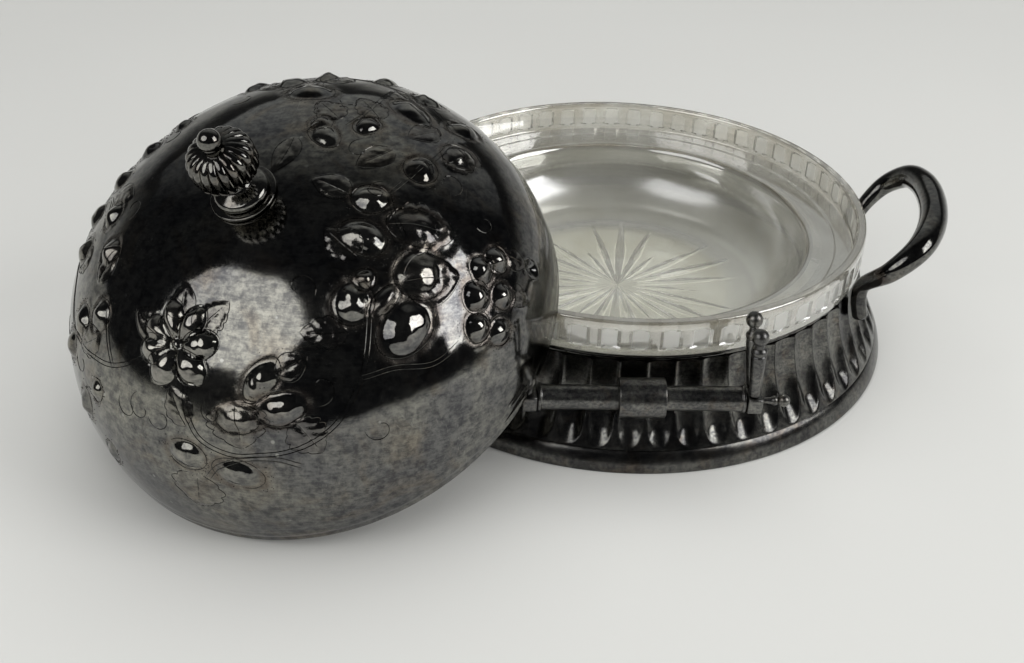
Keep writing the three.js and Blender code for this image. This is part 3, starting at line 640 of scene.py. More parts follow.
class CHEESEDOME_OT_stage(bpy.types.Operator):
    """Floor, backdrop, four soft lamps, a dim room and the camera."""

    bl_idname = "cheesedome.stage"
    bl_label = "Stage"

    def execute(self, context):
        scene = context.scene
        studio = scene.cheese_dome_studio
        self.add_floor(scene, tuple(studio.floor_colour))
        middle = DISH + Vector((-0.03, -0.03, 0.04))
        for row in LAMPS:
            self.add_lamp(scene, middle, studio.lamp_strength, *row)
        self.add_room(scene)
        self.add_camera(scene)
        scene.view_settings.view_transform = "Standard"
        return {"FINISHED"}

    def add_floor(self, scene, colour):
        angle = turns(96)
        wall = 50 + 750 * eased(np.clip((np.sin(angle) - 0.1) / 0.5, 0, 1))
        rings = [[(0.0, 0.0, 0.0)]] + [around(r, angle, 0) for r in (300, 700, 1500)]
        for step in range(1, 11):
            a = step / 10 * math.pi / 2
            rings.append(around(1500 + 400 * math.sin(a), angle, wall * (1 - math.cos(a))))
        mesh = mesh_of("floor", *skin(rings))
        mesh.transform(DISH_PLACE)
        smooth(mesh, 180)
        if mesh.polygons[0].normal.z < 0:
            mesh.flip_normals()
        floor = bpy.data.objects.new("floor", mesh)
        scene.collection.objects.link(floor)
        paint, w, shader = new_material("pale_sheet")
        where = w.where()
        tone = w.ramp(w.noise(where, 3.0, 2.0), 0.3, 0.7)
        sheet = w.mix(tone, colour + (1,), tuple(c * 0.97 for c in colour) + (1,))
        # the upright part of the backdrop fades into the dark room: painted shade, near black as it
        # rises
        upright = w.ramp(w.node("ShaderNodeSeparateXYZ", {0: where}, "Z"), 0.06, 0.62)
        w.feed(shader, {
            "Roughness": 0.6,
            "Specular IOR Level": 0.2,
            "Base Color": w.mix(upright, sheet, (0.05, 0.05, 0.05, 1)),
        })
        mesh.materials.append(paint)

    def add_lamp(self, scene, middle, full, name, direction, distance, width, height, roll, share):
        oval = name == "window_left"
        lamp = bpy.data.lights.new(name, "AREA")
        lamp.shape = "ELLIPSE" if oval else "RECTANGLE"
        lamp.size, lamp.size_y = width, height
        area = width * height * (math.pi / 4 if oval else 1)
        lamp.energy = full * share * area * math.pi
        shown = bpy.data.objects.new(name, lamp)
        shown.location = middle + Vector(direction).normalized() * distance
        shown.rotation_mode = "QUATERNION"
        aim = (middle - shown.location).to_track_quat("-Z", "Y")
        shown.rotation_quaternion = aim @ Quaternion((0, 0, 1), roll)
        shown.visible_camera = False
        if name in ("ceiling", "room"):
            shown.visible_glossy = False
            shown.visible_transmission = False
        scene.collection.objects.link(shown)

    def add_room(self, scene):
        """A dark room, paler behind the table."""
        world = bpy.data.worlds.new("room")
        world.use_nodes = True
        w = Wiring(world.node_tree)
        ray = w.node("ShaderNodeTexCoord", output="Generated")
        inputs = {0: ray, 1: (0.0, 0.9, 0.43)}
        facing = w.node("ShaderNodeVectorMath", inputs, "Value", operation="DOT_PRODUCT")
        glow = w.mix(w.ramp(facing, 0.58, 0.96), (0.03, 0.031, 0.033, 1), (0.4, 0.41, 0.4, 1))
        w.feed(world.node_tree.nodes["Background"], {"Color": glow})
        scene.world = world

    def add_camera(self, scene):
        data = bpy.data.cameras.new("camera")
        data.lens, data.sensor_width, data.sensor_fit = 42.1875, 36, "HORIZONTAL"
        data.clip_start = 0.01
        camera = bpy.data.objects.new("camera", data)
        right = Vector((0.99953, 0.01691, 0.02552))
        forward = Vector((0, 0.83367, -0.55226))
        turn = Matrix((right, right.cross(forward), -forward)).transposed()
        camera.rotation_mode = "QUATERNION"
        camera.rotation_quaternion = turn.to_quaternion()
        camera.location = DISH + Vector((-36.79, -364.63, 230.04)) * MM
        scene.collection.objects.link(camera)
        scene.camera = camera


# Base of the dish. Heights of the dish are over the table, in mm.

SKIRT_TOP, SKIRT_BOTTOM = 31.9, 6.9
SKIRT_CURVE = bezier([(80.1, SKIRT_TOP), (81.1, 21.4), (85.6, 15.2), (89.3, SKIRT_BOTTOM)], 200)
FLUTE_END = 0.012  # share of the skirt's height


def skirt_radius(z):
    return np.interp(z, SKIRT_CURVE[::-1, 1], SKIRT_CURVE[::-1, 0])


class CHEESEDOME_OT_skirt(bpy.types.Operator):
    """Fluted skirt, made as one flute and copied round the axis."""

    bl_idname = "cheesedome.skirt"
    bl_label = "Fluted Skirt"

    def execute(self, context):
        dish = context.scene.cheese_dome_dish
        depth = dish.flute_depth / MM
        u = np.linspace(0, 1, 17)
        angle = (u - 0.5) * 2 * math.pi / dish.flutes
        outside = [0.0, *np.linspace(FLUTE_END, 0.42, 22), *np.linspace(0.46, 1, 12)]
        inside = [1.0, 0.72, 0.45, 0.28, 0.13, 0.0]
        wall = 1.35 * depth + 0.9
        rows = []
        for k, share in enumerate(outside + inside):
            z = SKIRT_BOTTOM + share * (SKIRT_TOP - SKIRT_BOTTOM)
            cut = self.flute(share, u, depth) if k < len(outside) else wall
            rows.append(around(skirt_radius(z) - cut, angle, z))
        mesh = mesh_of("flute", *grid(rows))
        set_values(mesh, "inside", np.repeat([0, 1], [len(outside) * len(u), len(inside) * len(u)]))
        start = math.radians(-88) + math.pi / dish.flutes
        look = plate("skirt_plate")
        mesh = ring_of(mesh, dish.flutes, look, start)
        add_piece("skirt", mesh, DISH_PLACE, "base", ["base_skirt"], look, 50)
        return {"FINISHED"}

    def flute(self, share, u, depth):
        """How deep a flute is across its width. It starts as a spoon above the foot, deepens
        slowly and gets flatter upwards."""
        grow = max((share - FLUTE_END) / (1 - FLUTE_END), 0)
        spoon = math.sqrt(1 - (1 - min(grow * 6, 1)) ** 2)
        wide = max(0.72 * spoon + 0.28 * min(grow * 2.2, 1) ** 1.5, 1e-3)
        reach = min(grow * 5.4, 1) ** 0.9 * (1.45 - 0.45 * min(grow * 1.6, 1))
        curve = 1.0 - 0.35 * min(grow * 1.8, 1)
        return depth * reach * np.clip(1 - (np.abs(2 * u - 1) / wide) ** 2, 0, 1) ** curve


class CHEESEDOME_OT_foot(bpy.types.Operator):
    """Smooth foot band with its rolled edge, and the seat ring under the glass."""

    bl_idname = "cheesedome.foot"
    bl_label = "Foot and Seat"

    def execute(self, context):
        hole, top = 87.6, 6.8
        band = [
            (91.5, 0), (91.78, 0.6), (91.6, 1.7), (91.1, 3.3), (90.4, 4.8), (89.6, 6.0),
            (88.9, 6.6), (88.4, top),
        ]
        band = revolved([(hole, 0.0), *smooth_profile(band, 4), (hole, top)], 248)
        add_piece("foot", band, DISH_PLACE, "base", ["foot_band"], plate("foot_plate"))
        low, high = 32.2, 33.4
        ring = softened([(67, low), (79.0, low), (79.0, high), (67, high)], 0.3)
        look = plate("dish_plate")
        add_piece("seat", revolved(ring, 186), DISH_PLACE, "base", ["seat_ring"], look)
        return {"FINISHED"}


class CHEESEDOME_OT_handles(bpy.types.Operator):
    """Two loop handles, bent from a bar that swells to its middle."""

    bl_idname = "cheesedome.handles"
    bl_label = "Loop Handles"

    def execute(self, context):
        half = [
            (80.68, 26.21, 25.5), (79.03, 25.68, 31.9), (79.41, 25.8, 37.0), (86.1, 30.3, 45.48),
            (92.72, 26.82, 51.64), (96.82, 16.97, 54.14),
        ]
        other = [(x, -y, z) for x, y, z in reversed(half)]
        curve = centripetal(half + [(98.72, 0, 54.74)] + other, 9)
        length = [0.0]
        for a, b in zip(curve, curve[1:]):
            length.append(length[-1] + (b - a).length)
        bar = []
        for p, s in zip(curve, length):
            thick = 2.42 + 1.96 * eased(max((math.sin(s / length[-1] * math.pi) - 0.25) / 0.75, 0))
            end = min(s, length[-1] - s)
            if end < 1.0:
                thick *= 0.72 + 0.28 * math.sqrt(max(0, 1 - (1 - end) ** 2))
            bar.append((p, thick))
        look = plate("dish_plate")
        for side, turn in (("right", -11.5), ("left", 168.5)):
            c, w = math.cos(math.radians(turn)), math.sin(math.radians(turn))
            matrix = place(DISH, (c, w, 0), (-w, c, 0))
            mesh = bars_along([bar], look, 28)
            add_piece("handle_loop_" + side, mesh, matrix, "base", ["handle_" + side], look)
        return {"FINISHED"}


# Knife rest

ALONG_X = Matrix.Rotation(math.pi / 2, 4, "Y")
SPREAD = math.radians(6)  # how far each prong leans out of its fork


def rest_place(x=0.0, lean=0.0):
    """The rest's own frame at x mm along its bar, leaning this many degrees towards -X."""
    low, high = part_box("rest_sleeve")
    along = Matrix.Rotation(math.radians(1.9), 4, "Z") @ Matrix.Translation((x * MM, 0, 0))
    tip = Matrix.Rotation(-math.radians(lean), 4, "Y")
    return Matrix.Translation((low + high) / 2) @ along @ tip @ Matrix.Scale(MM, 4)


def ball_tip(radius, rise, middle, start, steps):
    """Profile of a ball from this angle up to its pole."""
    angles = np.linspace(start, math.pi / 2, steps)[:-1]
    side = [(radius * math.cos(a), middle + rise * math.sin(a)) for a in angles]
    return side + [(0, middle + rise)]


class CHEESEDOME_OT_rest(bpy.types.Operator):
    """Knife rest: sleeve, bar, two fork blocks, four prongs and two acorn ends."""

    bl_idname = "cheesedome.rest"
    bl_label = "Knife Rest"

    def execute(self, context):
        reach, half, gap = 32.0, 2.1, 0.3  # to a fork's middle, half its block, the bar's clearance
        sleeve = softened([(3.7, -6.7), (5.8, -6.7), (5.8, 6.7), (3.7, 6.7)], 0.35)
        self.add("sleeve", revolved(sleeve, 72), rest_place() @ ALONG_X, "rest_sleeve")
        end = reach - half - gap
        bar = [(0, end), (4, end), (4, end - 0.8), (3.6, end - 1.1)]
        bar = softened([(r, -z) for r, z in bar] + bar[::-1], 0.25, loop=False)
        self.add("bar", revolved(bar, 56, False), rest_place() @ ALONG_X, "rest_bar")
        for side, x, lean in (("left", -reach, 10.0), ("right", reach, 4.5)):
            block = self.block(half)
            self.add("fork_block_" + side, block, rest_place(x), "rest_block_" + side, 50)
            prong = revolved(self.prong(lean), 40, False)
            for spot, sign in (("front", -1), ("back", 1)):
                matrix = rest_place(x, lean) @ Matrix.Translation((0, sign * 1.95, 0))
                matrix = matrix @ Matrix.Rotation(-sign * SPREAD, 4, "X")
                node = "prong_%s_%s" % (side, spot)
                self.add(node + "_turned", prong, matrix, node)
            flip = Matrix.Rotation(math.pi, 4, "Z") if x < 0 else Matrix()
            matrix = rest_place(x) @ Matrix.Translation((0, 0, -0.5)) @ flip @ ALONG_X
            self.add("acorn_" + side, revolved(self.acorn(), 36, False), matrix, "rest_end_" + side)
        return {"FINISHED"}

    def add(self, name, shape, matrix, node, sharp=60):
        add_piece(name, shape, matrix, "base", [node], plate("rest_plate"), sharp)

    def block(self, half):
        """A rounded outline across the bar, bevelled at both faces."""
        wide, high = 4.6, 2.7
        outline = [(wide, high), (wide, -0.6), (4.2, -2.3), (2.6, -3.0)]
        outline = softened([(-y, z) for y, z in outline] + outline[::-1], 0.7, steps=4)
        rings = [
            [(x, y * (1 - inset / wide), z * (1 - inset / high)) for y, z in outline]
            for x, inset in ((half, 0.45), (2.0, 0.15), (1.75, 0.0))
        ]
        mirrored = [[(-x, y, z) for x, y, z in ring] for ring in rings]
        return skin([[(-half, 0, 0)], *mirrored, *rings[::-1], [(half, 0, 0)]])

    def prong(self, lean):
        top = 24.32
        dip = 1.75 * (math.sin(math.radians(lean)) + math.sin(SPREAD))
        foot = (2.7 + 0.15 + dip) / math.cos(math.radians(lean))
        shaft = [
            (0, foot), (1.45, foot), (1.7, foot + 0.4), (1.85, foot + 6), (2.15, top - 7.2),
            (2.1, top - 6.2), (1.8, top - 6.0),
        ]
        angles = np.linspace(0.3, math.pi - 0.5, 9)
        bead = [(1.55 + 0.75 * math.sin(a), top - 4.9 - 1.05 * math.cos(a)) for a in angles]
        neck = [(1.5, top - 3.6), (1.3, top - 3.0), (1.25, top - 2.3)]
        return softened(shaft, 0.3, loop=False) + bead + neck + ball_tip(2.4, 2.4, top, -1.08, 17)

    def acorn(self):
        start = 2.4
        neck = [(0, start), (0.85, start), (0.8, start + 0.4), (0.85, start + 1.6)]
        bead = [(0.85 + 0.12 * k + 0.1 * math.sin(k * 2), start + 2.0 + 0.42 * k) for k in range(6)]
        tip = [(1.2, start + 4.7)] + ball_tip(1.8, 1.9, start + 6.6, -1.1, 15)
        return softened(neck, 0.2, loop=False) + bead + tip


# Glass liner

RIM_RADIUS, LIP_RADIUS = 80.0, 76.8  # outside and inside of the upright rim
UNDER, FLOOR, SEAT, LEDGE, GLASS_TOP = 8.3, 10.8, 33.7, 36.0, 45.62
BLOCK_LOW, BLOCK_HIGH = LEDGE + 0.3, LEDGE + 7.1
BLOCK_MIDDLE, BLOCK_HALF = (BLOCK_LOW + BLOCK_HIGH) / 2, (BLOCK_HIGH - BLOCK_LOW) / 2
BOWL_FLAT, BOWL_CURVE = 37.3, 24.0  # radius of the flat floor and of the curve round it
BOWL_DARK_CORNER = 62.3, 35.2  # the corner over the bowl
STAR_TURN, STAR_HEART = math.radians(84.4), 3
RAYS = ((47.0, 2.2), (43.0, 1.7), (25.5, 1.1), (43.0, 1.7))  # reach and half width of four in turn


def ray_share(along):
    """How wide a ray of the star is at a share of its length: widest half way out."""
    return np.where(along < 0.5, 0.3 + 1.4 * along, 2 * (1 - along))


def liner_profile():
    """From the middle under the floor, round the outside and over the lip, to the middle inside."""
    outside = [
        (47, UNDER), (50.5, 8.9), (54.8, 11.6), (57.9, 16.2), (60.4, 22.5), (62.4, 29),
        (64.2, SEAT),
    ]
    seat = softened([(64.2, SEAT), (79.2, SEAT), (RIM_RADIUS, SEAT + 0.9)], 0.5, False)
    swings = np.linspace(-math.pi / 2, math.pi / 2, 15)
    heights = [BLOCK_MIDDLE + BLOCK_HALF * math.sin(t) for t in swings]
    heights = [BLOCK_LOW - 0.2, *heights, BLOCK_HIGH + 0.2, GLASS_TOP - 1.4]
    lip = [
        (RIM_RADIUS, GLASS_TOP - 1.0), (79.6, GLASS_TOP), (77.2, GLASS_TOP),
        (LIP_RADIUS, GLASS_TOP - 1.0),
    ]
    ledge = [
        (LIP_RADIUS, GLASS_TOP - 1.4), (LIP_RADIUS, LEDGE), (71.4, LEDGE), (71.0, LEDGE - 0.4),
        (62.8, LEDGE - 0.4), (61.5, 34), (61.2, 32.5),
    ]
    bowl = [
        (BOWL_FLAT + BOWL_CURVE * math.sin(t), FLOOR + BOWL_CURVE * (1 - math.cos(t)))
        for t in np.radians(np.arange(78, -1, -6))
    ]
    return [
        *((r, UNDER) for r in range(0, 48, 4)),
        *smooth_profile(outside, 3),
        *seat[1:],
        *((RIM_RADIUS, z) for z in heights),
        *softened(lip, 0.7, False, 5),
        *softened(ledge, 1.0, False, 4),
        *bowl,
        *((r, FLOOR) for r in (32, 27, 22, 17, 12, 8, 4, 0)),
    ]


class CHEESEDOME_OT_liner(bpy.types.Operator):
    """Pressed-glass liner with hollowed rim blocks and a star cut under its floor."""

    bl_idname = "cheesedome.liner"
    bl_label = "Glass Liner"

    def execute(self, context):
        dish = context.scene.cheese_dome_dish
        columns = dish.blocks * 8
        angle = turns(columns)
        block = angle * dish.blocks / (2 * math.pi)
        block_off = np.abs(block - np.round(block))
        ray = (angle - STAR_TURN) * dish.rays / (2 * math.pi)
        ray_off = (ray - np.round(ray)) * 2 * math.pi / dish.rays
        reach, half = np.array(RAYS)[np.round(ray).astype(int) % len(RAYS)].T
        rings, values = [], {"frost": [], "brown_darkening": [], "satin": [], "level": []}
        for r, z in liner_profile():
            radius, height = np.full(columns, float(r)), np.full(columns, float(z))
            frost, darkening = np.zeros(columns), np.full(columns, self.darkening(r, z))
            if r == RIM_RADIUS and BLOCK_LOW - 1e-6 <= z <= BLOCK_HIGH + 1e-6:
                # each block is a shallow hollow with rounded corners
                tall = min(abs(z - BLOCK_MIDDLE) / BLOCK_HALF, 1.0)
                round_end = 0.34 * (1 - tall**4) ** 0.25
                hollow = eased(np.clip((round_end - block_off) / 0.05, 0, 1))
                radius -= 0.6 * hollow
                frost = 0.35 + 0.65 * hollow
                # darker brown between the hollows of the blocks
                darkening = darkening + 0.4 * (1 - hollow) * (tall < 0.98)
            if z == UNDER and 2 < r < 46:
                share = ray_share(np.clip((r - STAR_HEART) / (reach - STAR_HEART), 0, 1))
                cut = np.clip(1 - np.abs(ray_off * r) / np.maximum(half * share, 1e-3), 0, 1)
                height += cut * np.clip(share * 2.5, 0, 1)
                frost = 0.3 * np.clip(cut * 2, 0, 1)
            curved = 36 < r < 61.4 and FLOOR + 0.1 < z < 27
            satin = min((27 - z) / 4, 1) if curved else 0.0
            level = float(r < 48 and z < FLOOR + 0.1)
            count = columns if r else 1
            rings.append(around(radius, angle, height)[:count])
            for name, value in zip(values, (frost, darkening, satin, level)):
                values[name].append(np.broadcast_to(value, columns)[:count])
        shape = mesh_of("liner", *skin(rings))
        for name, parts in values.items():
            set_values(shape, name, np.concatenate(parts))
        look = glass_material()
        add_piece("liner", shape, DISH_PLACE, "liner", ["glass_liner"], look, 25)
        self.add_star(dish.rays)
        return {"FINISHED"}

    def darkening(self, r, z):
        """Darker brown in the two inner corners, thin on the lip and on the ledge."""
        corner = min(
            abs(r - LIP_RADIUS) / 2.0 + abs(z - LEDGE) / 1.4,
            abs(r - BOWL_DARK_CORNER[0]) / 1.6 + abs(z - BOWL_DARK_CORNER[1]) / 1.6,
        )
        lip = 0.6 if z > 44 and r > 76 else 0.0
        ledge = 0.22 if 62 < r < 76.9 and 34.5 < z < 36.5 else 0.0
        return max(1 - corner, lip, ledge)

    def add_star(self, rays):
        """Painted highlight and painted shade for the star: pale bars along the edges of the cuts,
        standing in for the light they catch, and dark bars along their bottoms.
        """
        edges, bottoms = [], []
        for k in range(rays):
            turn = STAR_TURN + 2 * math.pi * k / rays
            c, w = math.cos(turn), math.sin(turn)
            reach, half = RAYS[k % len(RAYS)]
            for side in (-1, 0, 1):
                path = []
                for along in np.linspace(0.1, 1.0, 14) if side else np.linspace(0.3, 0.9, 14):
                    share = float(ray_share(along))
                    r, aside = STAR_HEART + along * (reach - STAR_HEART), side * half * share
                    z = UNDER - 0.2 + (0 if side else min(share * 2.5, 1))
                    thick = (0.27 if side else 0.13) * min(0.45 + 1.2 * share, 1)
                    path.append((Vector((r * c - aside * w, r * w + aside * c, z)), thick))
                (edges if side else bottoms).append(path)
        # pale bars: painted highlight on the cut edges; dark bars: painted shade in the cut bottoms
        for name, paths, look in (
            ("star_edges", edges, painted_cut_line("painted_cut_line", 1.0)),
            ("star_bottoms", bottoms, painted_cut_line("cut_shade", 0.12)),
        ):
            mesh = bars_along(paths, look, 5)
            add_piece(name, mesh, DISH_PLACE, "liner", [], look)


# Cover. Its own frame has its crown on +Z, in mm.

TILT, LEAN = math.radians(28.6), math.radians(242)
AXIS = Vector((math.sin(TILT) * math.cos(LEAN), math.sin(TILT) * math.sin(LEAN), math.cos(TILT)))
DOWNHILL = Vector(
    (math.cos(TILT) * math.cos(LEAN), math.cos(TILT) * math.sin(LEAN), -math.sin(TILT))
)
ACROSS = AXIS.cross(DOWNHILL)
DOME_RADIUS, DOME_HEIGHT, DOME_WALL, ROUNDNESS = 72.5, 58.29, 0.9, 2.2
BORE = 1.6  # radius of the hole for the stud
WASHER_TOP = -DOME_WALL - 0.3 - 0.25  # this and the next two are over the crown
STUD_BOTTOM, STUD_TOP = WASHER_TOP - 5, 21.6
STUD_LOW, STUD_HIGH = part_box("knob_stud")
CROWN = (STUD_LOW + STUD_HIGH) / 2 - AXIS * (STUD_BOTTOM + STUD_TOP) / 2 * MM
CROWN_PLACE = place(CROWN, DOWNHILL, ACROSS, AXIS)
DOME_PLACE = place(CROWN - AXIS * DOME_HEIGHT * MM, DOWNHILL, ACROSS, AXIS)


def dome_curve(radius, height):
    """The dome's profile from its crown to its rim: lengths along it, radii and heights."""
    a = np.linspace(math.pi / 2, 0, 4000)
    r = radius * np.cos(a) ** (2 / ROUNDNESS)
    z = height * np.sin(a) ** (2 / ROUNDNESS)
    r[0] = z[-1] = 0
    s = np.concatenate([[0], np.cumsum(np.hypot(np.diff(r), np.diff(z)))])
    return s, r, z


DOME_S, DOME_R, DOME_Z = dome_curve(DOME_RADIUS, DOME_HEIGHT)
DOME_LENGTH = DOME_S[-1]


def dome_at(s):
    return np.interp(s, DOME_S, DOME_R), np.interp(s, DOME_S, DOME_Z)


def on_dome(azimuth, s, lift):
    """Points lifted off the dome at these azimuths, in radians, and distances from its crown."""
    r, z = dome_at(s)
    (r1, z1), (r0, z0) = dome_at(s + 0.4), dome_at(s - 0.4)
    length = np.maximum(np.hypot(r1 - r0, z1 - z0), 1e-9)
    return around(r - lift * (z1 - z0) / length, azimuth, z + lift * (r1 - r0) / length)


def arc_of(r):
    return float(np.interp(r, DOME_R, DOME_S))


def hill(x, at, wide):
    return np.exp(-(((x - at) / wide) ** 2))


# Raised work on the cover. Every place is (azimuth in degrees, distance from the axis in mm), and
# a turn runs from downhill towards growing azimuth.

FRUITS = [  # azimuth, distance, length down the dome, width across, rise, turn
    (111.3, 33.0, 8.5, 7.5, 2.0, 0), (91.9, 34.4, 11, 8, 2.2, 0), (68.6, 42.7, 9, 9.5, 2.2, 0),
    (77.5, 40.8, 5, 5, 1.6, 0), (76.1, 47.2, 4.5, 9, 1.6, 0), (103.5, 44.8, 13, 8.5, 1.5, 0),
    (89.7, 49.7, 11.5, 11.0, 2.2, 0), (75.1, 54.1, 10.5, 14.5, 2.5, 0),
    (105.3, 62.6, 6.6, 6.6, 2.3, 0), (100.5, 60.4, 6.6, 6.6, 2.3, 0),
    (93.5, 61.4, 7.4, 7.4, 2.5, 0), (97.9, 65.3, 6.6, 6.6, 2.1, 0), (87.7, 64.0, 7, 7, 2.3, 0),
    (90.7, 67.3, 6.4, 6.4, 1.9, 0), (32.2, 49.0, 11.5, 6.5, 2.2, -51),
    (35.7, 55.3, 11, 7.5, 2.2, 84), (23.9, 55.9, 10, 6.5, 2.0, 85), (8.5, 63.2, 10, 7, 1.7, 81),
    (20.9, 65.5, 12, 7, 1.4, 70), (-34.8, 49.2, 8, 7, 2.0, 0), (-41.4, 55.9, 8, 8, 2.0, 0),
    (-73.1, 44.4, 7, 7, 1.9, 0), (-54.3, 41.7, 7.5, 7.5, 2.0, 0), (-23.8, 61.7, 6, 5, 1.5, 0),
    (-43, 63.5, 9, 7, 1.6, 0), (-29, 67, 9, 6.5, 1.5, 0), (-18, 70, 7, 5, 0.9, 0),
    (-90.6, 52.5, 9, 8, 1.9, 0), (-78.9, 56.3, 9, 8, 1.9, 0), (-65.4, 55.2, 8, 8, 1.9, 0),
    (-143, 55, 9, 8, 1.6, 0), (-168.3, 42.8, 9, 12, 1.8, 0), (157, 51.5, 8, 13, 1.8, 0),
    (155, 37.9, 7, 6.5, 1.9, 0), (161, 27, 6, 9, 1.6, 0), (171, 29.7, 6, 5.5, 1.3, 0),
    (-104, 51, 9, 7.5, 1.5, 0), (-117, 48.5, 6, 5.5, 1.3, 0), (-116, 62, 9, 8, 1.7, 0),
    (-156, 51, 9, 8, 1.5, 0), (-166, 55.3, 9, 8, 1.7, 0), (180, 61.8, 10, 7, 1.7, 0),
    (164, 60.3, 9, 8, 1.7, 0), (148, 61.1, 10, 7, 1.7, 0), (135, 55.3, 9, 8, 1.7, 0),
    (128, 45.1, 8, 8, 1.7, 0),
]
FLOWER = (2.7, 41.8)
PETALS = (-149, -102, -63, -20, 46, 100, 154)  # turns
PETAL_WIDTH = 6.8
DENT = (109.6, 68.9, 5.0, 3.2)  # azimuth, distance, length, width
LEAVES = [  # azimuth and distance of the stalk, turn, length, width, scallops a side
    (-4.5, 41.0, -97, 12, 8, 0), (1.2, 36.3, -163, 10, 7.5, 0), (9.5, 37.5, 134, 11, 8, 5),
    (84.5, 47.5, 40, 16, 13, 0), (101.5, 38.5, 12, 18, 13, 5), (83, 36.5, 170, 12, 9, 4),
    (112, 28, 150, 12, 8, 0), (62, 47, -120, 12, 8, 4), (108, 64, 8, 8, 6, 0),
    (101, 66, -5, 8, 6, 0), (23.5, 52.5, 0, 12.5, 15, 5), (38, 58, 20, 11, 10, 5),
    (10.5, 66, -12, 13, 14, 4), (37, 48.5, 100, 9, 7, 0), (9, 58, -150, 11, 8, 4),
    (-30, 52, -35, 12, 9, 4), (-46, 47, -150, 12, 8, 0), (-60, 50, -20, 12, 8, 4),
    (-84, 48, 160, 12, 8, 0), (-98, 58, 30, 11, 8, 4), (-122, 56, 20, 12, 9, 4),
    (-147, 55, -160, 12, 8, 0), (-172, 50, 15, 12, 9, 4), (172, 56, -100, 12, 8, 0),
    (156, 42, 75, 13, 8, 4), (146, 54, 190, 11, 8, 0), (176, 22, -160, 14, 8, 0),
    (166, 34, 70, 12, 8, 4), (131, 51, 20, 12, 8, 4), (138, 40, 200, 12, 8, 0),
]
STEMS = [  # places along each stem
    [
        (8.4, 50), (8.4, 52.9), (12.4, 59.7), (20.8, 62.4), (27.1, 62.7), (33.3, 62.9),
        (39.8, 62.4), (47, 61), (58, 56),
    ],
    [(13, 66.5), (16.4, 64.5), (22.8, 63.2), (31, 63.8), (36, 65.5)],
    [(58, 56), (66, 50), (70, 47)], [(58, 56), (66, 58), (74, 62), (82, 63)],
    [(-8, 47), (-20, 54), (-30, 57), (-45, 60), (-58, 59), (-70, 60)],
    [(-20, 54), (-27, 50), (-33, 46)],
    [(-70, 60), (-84, 59), (-100, 60), (-116, 57), (-132, 57), (-146, 59)],
    [(-84, 59), (-82, 50), (-75, 47)],
    [(-146, 59), (-160, 60), (-172, 58), (172, 58), (157, 58), (146, 58)],
    [(172, 58), (168, 50), (163, 42), (160, 33)], [(146, 58), (134, 50), (124, 42), (115, 37)],
    [(115, 37), (104, 40), (96, 45)],
]
TENDRILS = [  # azimuth, distance, turn of the start, size
    (-8, 55, -60, 4.5), (-3, 58.5, 10, 4), (-14, 58, -20, 4), (45, 57, 60, 4.5), (52, 64, -20, 4),
    (14, 53, -40, 3.5), (-38, 62, 10, 4), (-52, 63, -40, 4), (119, 52, 10, 4.5),
    (112, 57, -60, 3.5), (60, 36, 120, 4.5), (121, 36, 160, 4), (-66, 36, 180, 4),
    (-108, 47, 150, 4), (-136, 45, 170, 4), (-160, 48, -150, 4), (178, 44, 160, 4),
    (148, 34, 150, 4),
]


def shift_from(degrees, r, along, aside, turn=0.0):
    """Azimuths and arc lengths of places so many mm along and aside, turned, from this one."""
    c, w = math.cos(math.radians(turn)), math.sin(math.radians(turn))
    s = arc_of(r) + along * c - aside * w
    return math.radians(degrees) + (along * w + aside * c) / ((dome_at(s)[0] + r) / 2), s


def leaf_half(t, width, scallops):
    """Half width of a leaf at the share t of its length."""
    half = width / 2 * np.sin(math.pi * np.clip(t, 0, 1) ** 0.8) ** 0.8
    if scallops:
        half = half * (0.86 + 0.2 * np.abs(np.sin(math.pi * scallops * t)) ** 0.7)
    return half


